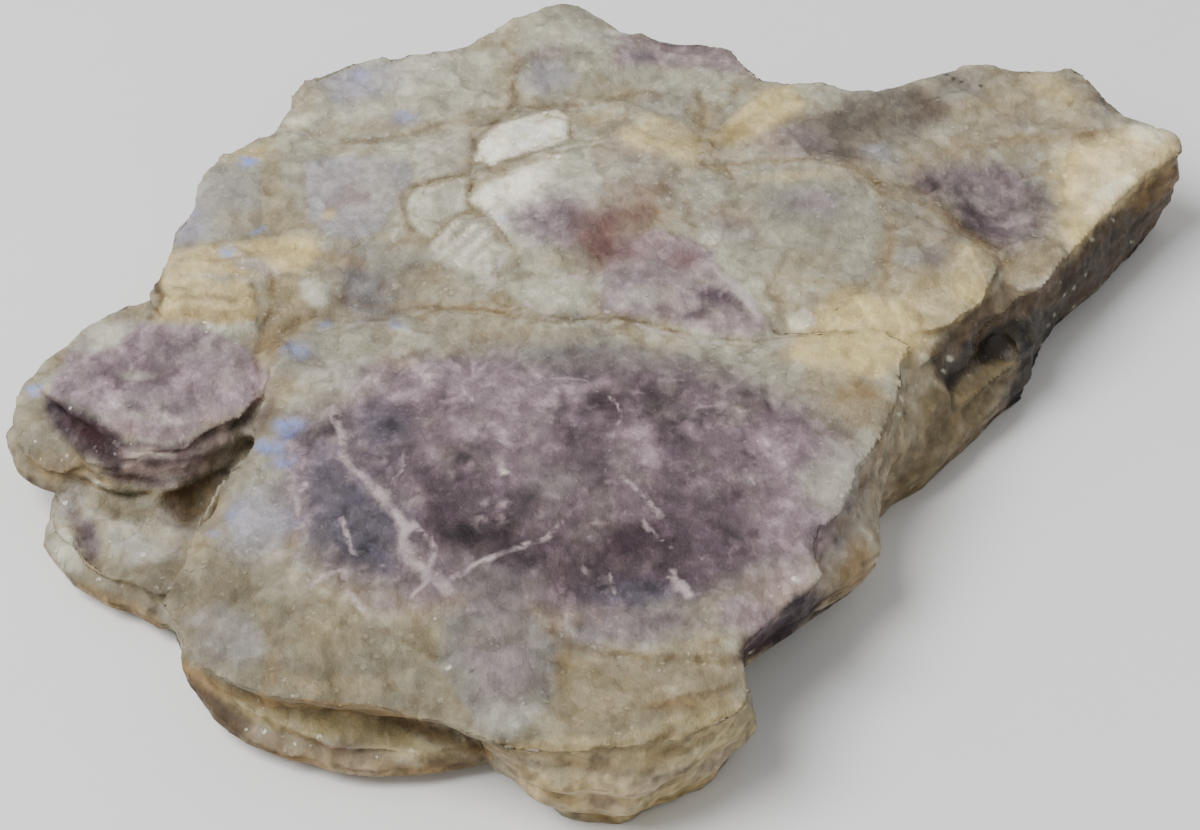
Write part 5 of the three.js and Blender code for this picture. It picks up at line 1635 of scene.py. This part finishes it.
class LepidoliteStageSettings(bpy.types.PropertyGroup):
    floor_colour: bpy.props.FloatVectorProperty(
        name="Floor Colour", description="Colour of the floor", default=(0.9, 0.9, 0.9), size=3,
        min=0.0, max=1.0, subtype="COLOR")
    key_power: bpy.props.FloatProperty(
        name="Key Light", description="Power of the large soft light", default=7.0, min=0.0, unit="POWER")
    sky_strength: bpy.props.FloatProperty(
        name="Sky Strength", description="Strength of the even light from all round", default=0.5, min=0.0)


def colour_values(scene):
    """The palette: each colour of the settings by its name."""
    colours = scene.lepidolite_colours
    return {name: np.array(getattr(colours, name)) for name in colours.__annotations__}


def shared_grain():
    return bpy.data.node_groups.get("mica grain") or mica_grain_group()


def bake(context, piece, modifier):
    """Keeps what the modifier makes of the piece as its mesh, and removes the modifier."""
    result = bpy.data.meshes.new_from_object(piece.evaluated_get(context.evaluated_depsgraph_get()))
    piece.modifiers.remove(modifier)
    piece.data = result


def rebuild(context, piece, kind, **values):
    """Runs one modifier on the piece and keeps its result."""
    modifier = piece.modifiers.new(kind.title(), kind)
    for key, value in values.items():
        setattr(modifier, key, value)
    bake(context, piece, modifier)


class LEPIDOLITE_OT_stone(bpy.types.Operator):
    """Rebuild the slab's surface with its plates, layers, cracks and colours"""

    bl_idname = "lepidolite.stone"
    bl_label = "Stone"

    def execute(self, context):
        settings = context.scene.lepidolite_stone
        palette = colour_values(context.scene)
        stone = self.solid_copy(context)
        rebuild(context, stone, "REMESH", mode="VOXEL", voxel_size=settings.mesh_size)
        if not len(stone.data.vertices):
            raise RuntimeError("the slab's surface came out empty")
        below = self.carve(stone, settings)
        self.thin_out(context, stone, below, settings.triangle_limit)
        points, normals, edges = mesh_arrays(stone.data)
        colour, masks = paint(to_plan(points), normals, edges, palette, settings)
        store_colour(stone.data, "Tint", np.column_stack([colour, np.ones(len(colour))]))
        for name, values in masks.items():
            store_colour(stone.data, name, values)
        stone.data.shade_smooth()
        stone.data.materials.clear()
        stone.data.materials.append(stone_material(shared_grain(), settings, palette))
        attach(stone, BODY)
        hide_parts(NODE)
        return {"FINISHED"}

    @staticmethod
    def solid_copy(context):
        """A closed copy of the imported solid."""
        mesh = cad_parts[NODE].data.copy()
        mesh.name = "lepidolite_stone"
        shape = bmesh.new()
        shape.from_mesh(mesh)
        bmesh.ops.remove_doubles(shape, verts=shape.verts, dist=1e-6)
        shape.to_mesh(mesh)
        shape.free()
        stone = bpy.data.objects.new("lepidolite_stone", mesh)
        context.scene.collection.objects.link(stone)
        return stone

    @staticmethod
    def carve(stone, settings):
        """Softens the edges of the solid and gives it its relief. Returns the points of the underside."""
        points, normals, edges = mesh_arrays(stone.data)
        plan = to_plan(points)
        seen = seen_on_rim(plan)
        soft = np.min([distance_to_line(seen, line) for line in SOFT_EDGES.values()], axis=0)
        soft = 1.0 - smoothstep(2.5, 5.0, soft)
        step = 1.0 - smoothstep(1.2, 3.2, distance_to_line(seen, STEP_EDGE))
        plan = relax(plan, edges, 4)
        plan = relax(plan, edges, 24, smoothstep(0.6, 0.9, normals[:, 2]) * (0.35 + 0.65 * soft))
        plan = relax(plan, edges, 30, smoothstep(*WING_TIP, plan[:, 0]))
        plan = relax(plan, edges, 40, step * smoothstep(-0.4, 0.0, normals[:, 2]))
        put_points(stone.data, from_plan(plan))
        points, normals, edges = mesh_arrays(stone.data)
        plan = displace(to_plan(points), normals, settings)
        plan = relax(plan, edges, 1, step=0.4)
        put_points(stone.data, from_plan(underside(plan, normals)))
        return np.flatnonzero(normals[:, 2] < UNDERSIDE_SLOPE)

    @staticmethod
    def thin_out(context, stone, below, limit):
        """Fewer triangles: first on the underside, then all over down to the limit."""
        underneath = stone.vertex_groups.new(name="underneath")
        underneath.add(below.tolist(), 1.0, "REPLACE")
        rebuild(context, stone, "DECIMATE", decimate_type="COLLAPSE", vertex_group=underneath.name,
                ratio=1.0 - UNDERSIDE_THINNING * len(below) / len(stone.data.vertices))
        stone.vertex_groups.clear()
        triangles = sum(len(f.vertices) - 2 for f in stone.data.polygons)
        if triangles > limit:
            rebuild(context, stone, "DECIMATE", decimate_type="COLLAPSE", ratio=limit / triangles)


class LEPIDOLITE_OT_flakes(bpy.types.Operator):
    """Scatter thin mica flakes over the upper faces of the stone"""

    bl_idname = "lepidolite.flakes"
    bl_label = "Flakes"

    def execute(self, context):
        settings = context.scene.lepidolite_flakes
        stone = bpy.data.objects["lepidolite_stone"]
        material = flake_material(shared_grain(), context.scene.lepidolite_stone, colour_values(context.scene))
        flakes = bpy.data.objects.new("mica_flakes", bpy.data.meshes.new("mica_flakes"))
        context.scene.collection.objects.link(flakes)
        modifier = flakes.modifiers.new("Flakes", "NODES")
        modifier.node_group = flake_scatter(material)
        values = {"Stone": stone, "Density": settings.density, "Smallest": settings.smallest,
                  "Largest": settings.largest, "Tilt": settings.tilt, "Seed": settings.seed}
        for item in modifier.node_group.interface.items_tree:
            if item.in_out == "INPUT" and item.name in values:
                modifier[item.identifier] = values[item.name]
        bake(context, flakes, modifier)
        if not len(flakes.data.polygons):
            raise RuntimeError("no flakes were made")
        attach(flakes, BODY)
        return {"FINISHED"}


class LEPIDOLITE_OT_stage(bpy.types.Operator):
    """Add the floor, the soft studio light and the camera"""

    bl_idname = "lepidolite.stage"
    bl_label = "Stage"

    def execute(self, context):
        settings = context.scene.lepidolite_stage
        scene = context.scene
        self.floor(scene, settings)
        lamp = bpy.data.lights.new("key_light", "AREA")
        lamp.shape, lamp.size, lamp.energy = "DISK", KEY_SIZE, settings.key_power
        self.place(scene, "key_light", lamp, KEY_PLACE, -KEY_PLACE)
        world = bpy.data.worlds.new("studio")
        world.use_nodes = True
        background = world.node_tree.nodes["Background"]
        background.inputs["Color"].default_value = (1.0, 1.0, 1.0, 1.0)
        background.inputs["Strength"].default_value = settings.sky_strength
        scene.world = world

        lens = bpy.data.cameras.new("camera")
        lens.lens, lens.sensor_width = LENS, SENSOR_WIDTH
        lens.clip_start, lens.clip_end = CLIP_RANGE
        scene.camera = self.place(scene, "camera", lens, Vector(from_plan(VIEW_POINT)), Vector(-VIEW_BACK))
        return {"FINISHED"}

    @staticmethod
    def floor(scene, settings):
        corners = [(x * FLOOR_REACH, y * FLOOR_REACH, 0) for x, y in ((-1, -1), (1, -1), (1, 1), (-1, 1))]
        mesh = bpy.data.meshes.new("floor")
        mesh.from_pydata(corners, [], [(0, 1, 2, 3)])
        material, nodes, shader = new_material("pale_floor")
        place = nodes.add("ShaderNodeTexCoord").outputs["Object"]
        tone = nodes.remap(nodes.noise(place, 30.0), 0.3, 0.7, 0.98, 1.0)
        colour = nodes.mix(tone, (0.0, 0.0, 0.0), tuple(settings.floor_colour))
        nodes.join(colour, shader.inputs["Base Color"])
        shader.inputs["Roughness"].default_value = 0.8
        mesh.materials.append(material)
        floor = bpy.data.objects.new("floor", mesh)
        scene.collection.objects.link(floor)

    @staticmethod
    def place(scene, name, data, location, direction):
        """Adds a light or camera that looks in the given direction."""
        holder = bpy.data.objects.new(name, data)
        holder.location = location
        holder.rotation_euler = direction.to_track_quat("-Z", "Y").to_euler()
        scene.collection.objects.link(holder)
        return holder


class LEPIDOLITE_PT_panel(bpy.types.Panel):
    bl_label = "Lepidolite"
    bl_space_type = "VIEW_3D"
    bl_region_type = "UI"
    bl_category = "Lepidolite"

    def draw(self, context):
        layout = self.layout
        for group in SETTINGS:
            settings = getattr(context.scene, group)
            for name in settings.__annotations__:
                layout.prop(settings, name)
        for operator in OPERATORS:
            layout.operator(operator.bl_idname)


SETTINGS = {
    "lepidolite_stone": LepidoliteStoneSettings,
    "lepidolite_colours": LepidoliteColourSettings,
    "lepidolite_flakes": LepidoliteFlakeSettings,
    "lepidolite_stage": LepidoliteStageSettings,
}
OPERATORS = (LEPIDOLITE_OT_stone, LEPIDOLITE_OT_flakes, LEPIDOLITE_OT_stage)
CLASSES = (*SETTINGS.values(), *OPERATORS, LEPIDOLITE_PT_panel)


def register():
    for cls in CLASSES:
        bpy.utils.register_class(cls)
    for name, cls in SETTINGS.items():
        setattr(bpy.types.Scene, name, bpy.props.PointerProperty(type=cls))


def unregister():
    for name in SETTINGS:
        delattr(bpy.types.Scene, name)
    for cls in reversed(CLASSES):
        bpy.utils.unregister_class(cls)


def main():
    register()
    bpy.ops.lepidolite.stone()
    bpy.ops.lepidolite.flakes()
    bpy.ops.lepidolite.stage()


if __name__ == "__main__":
    main()
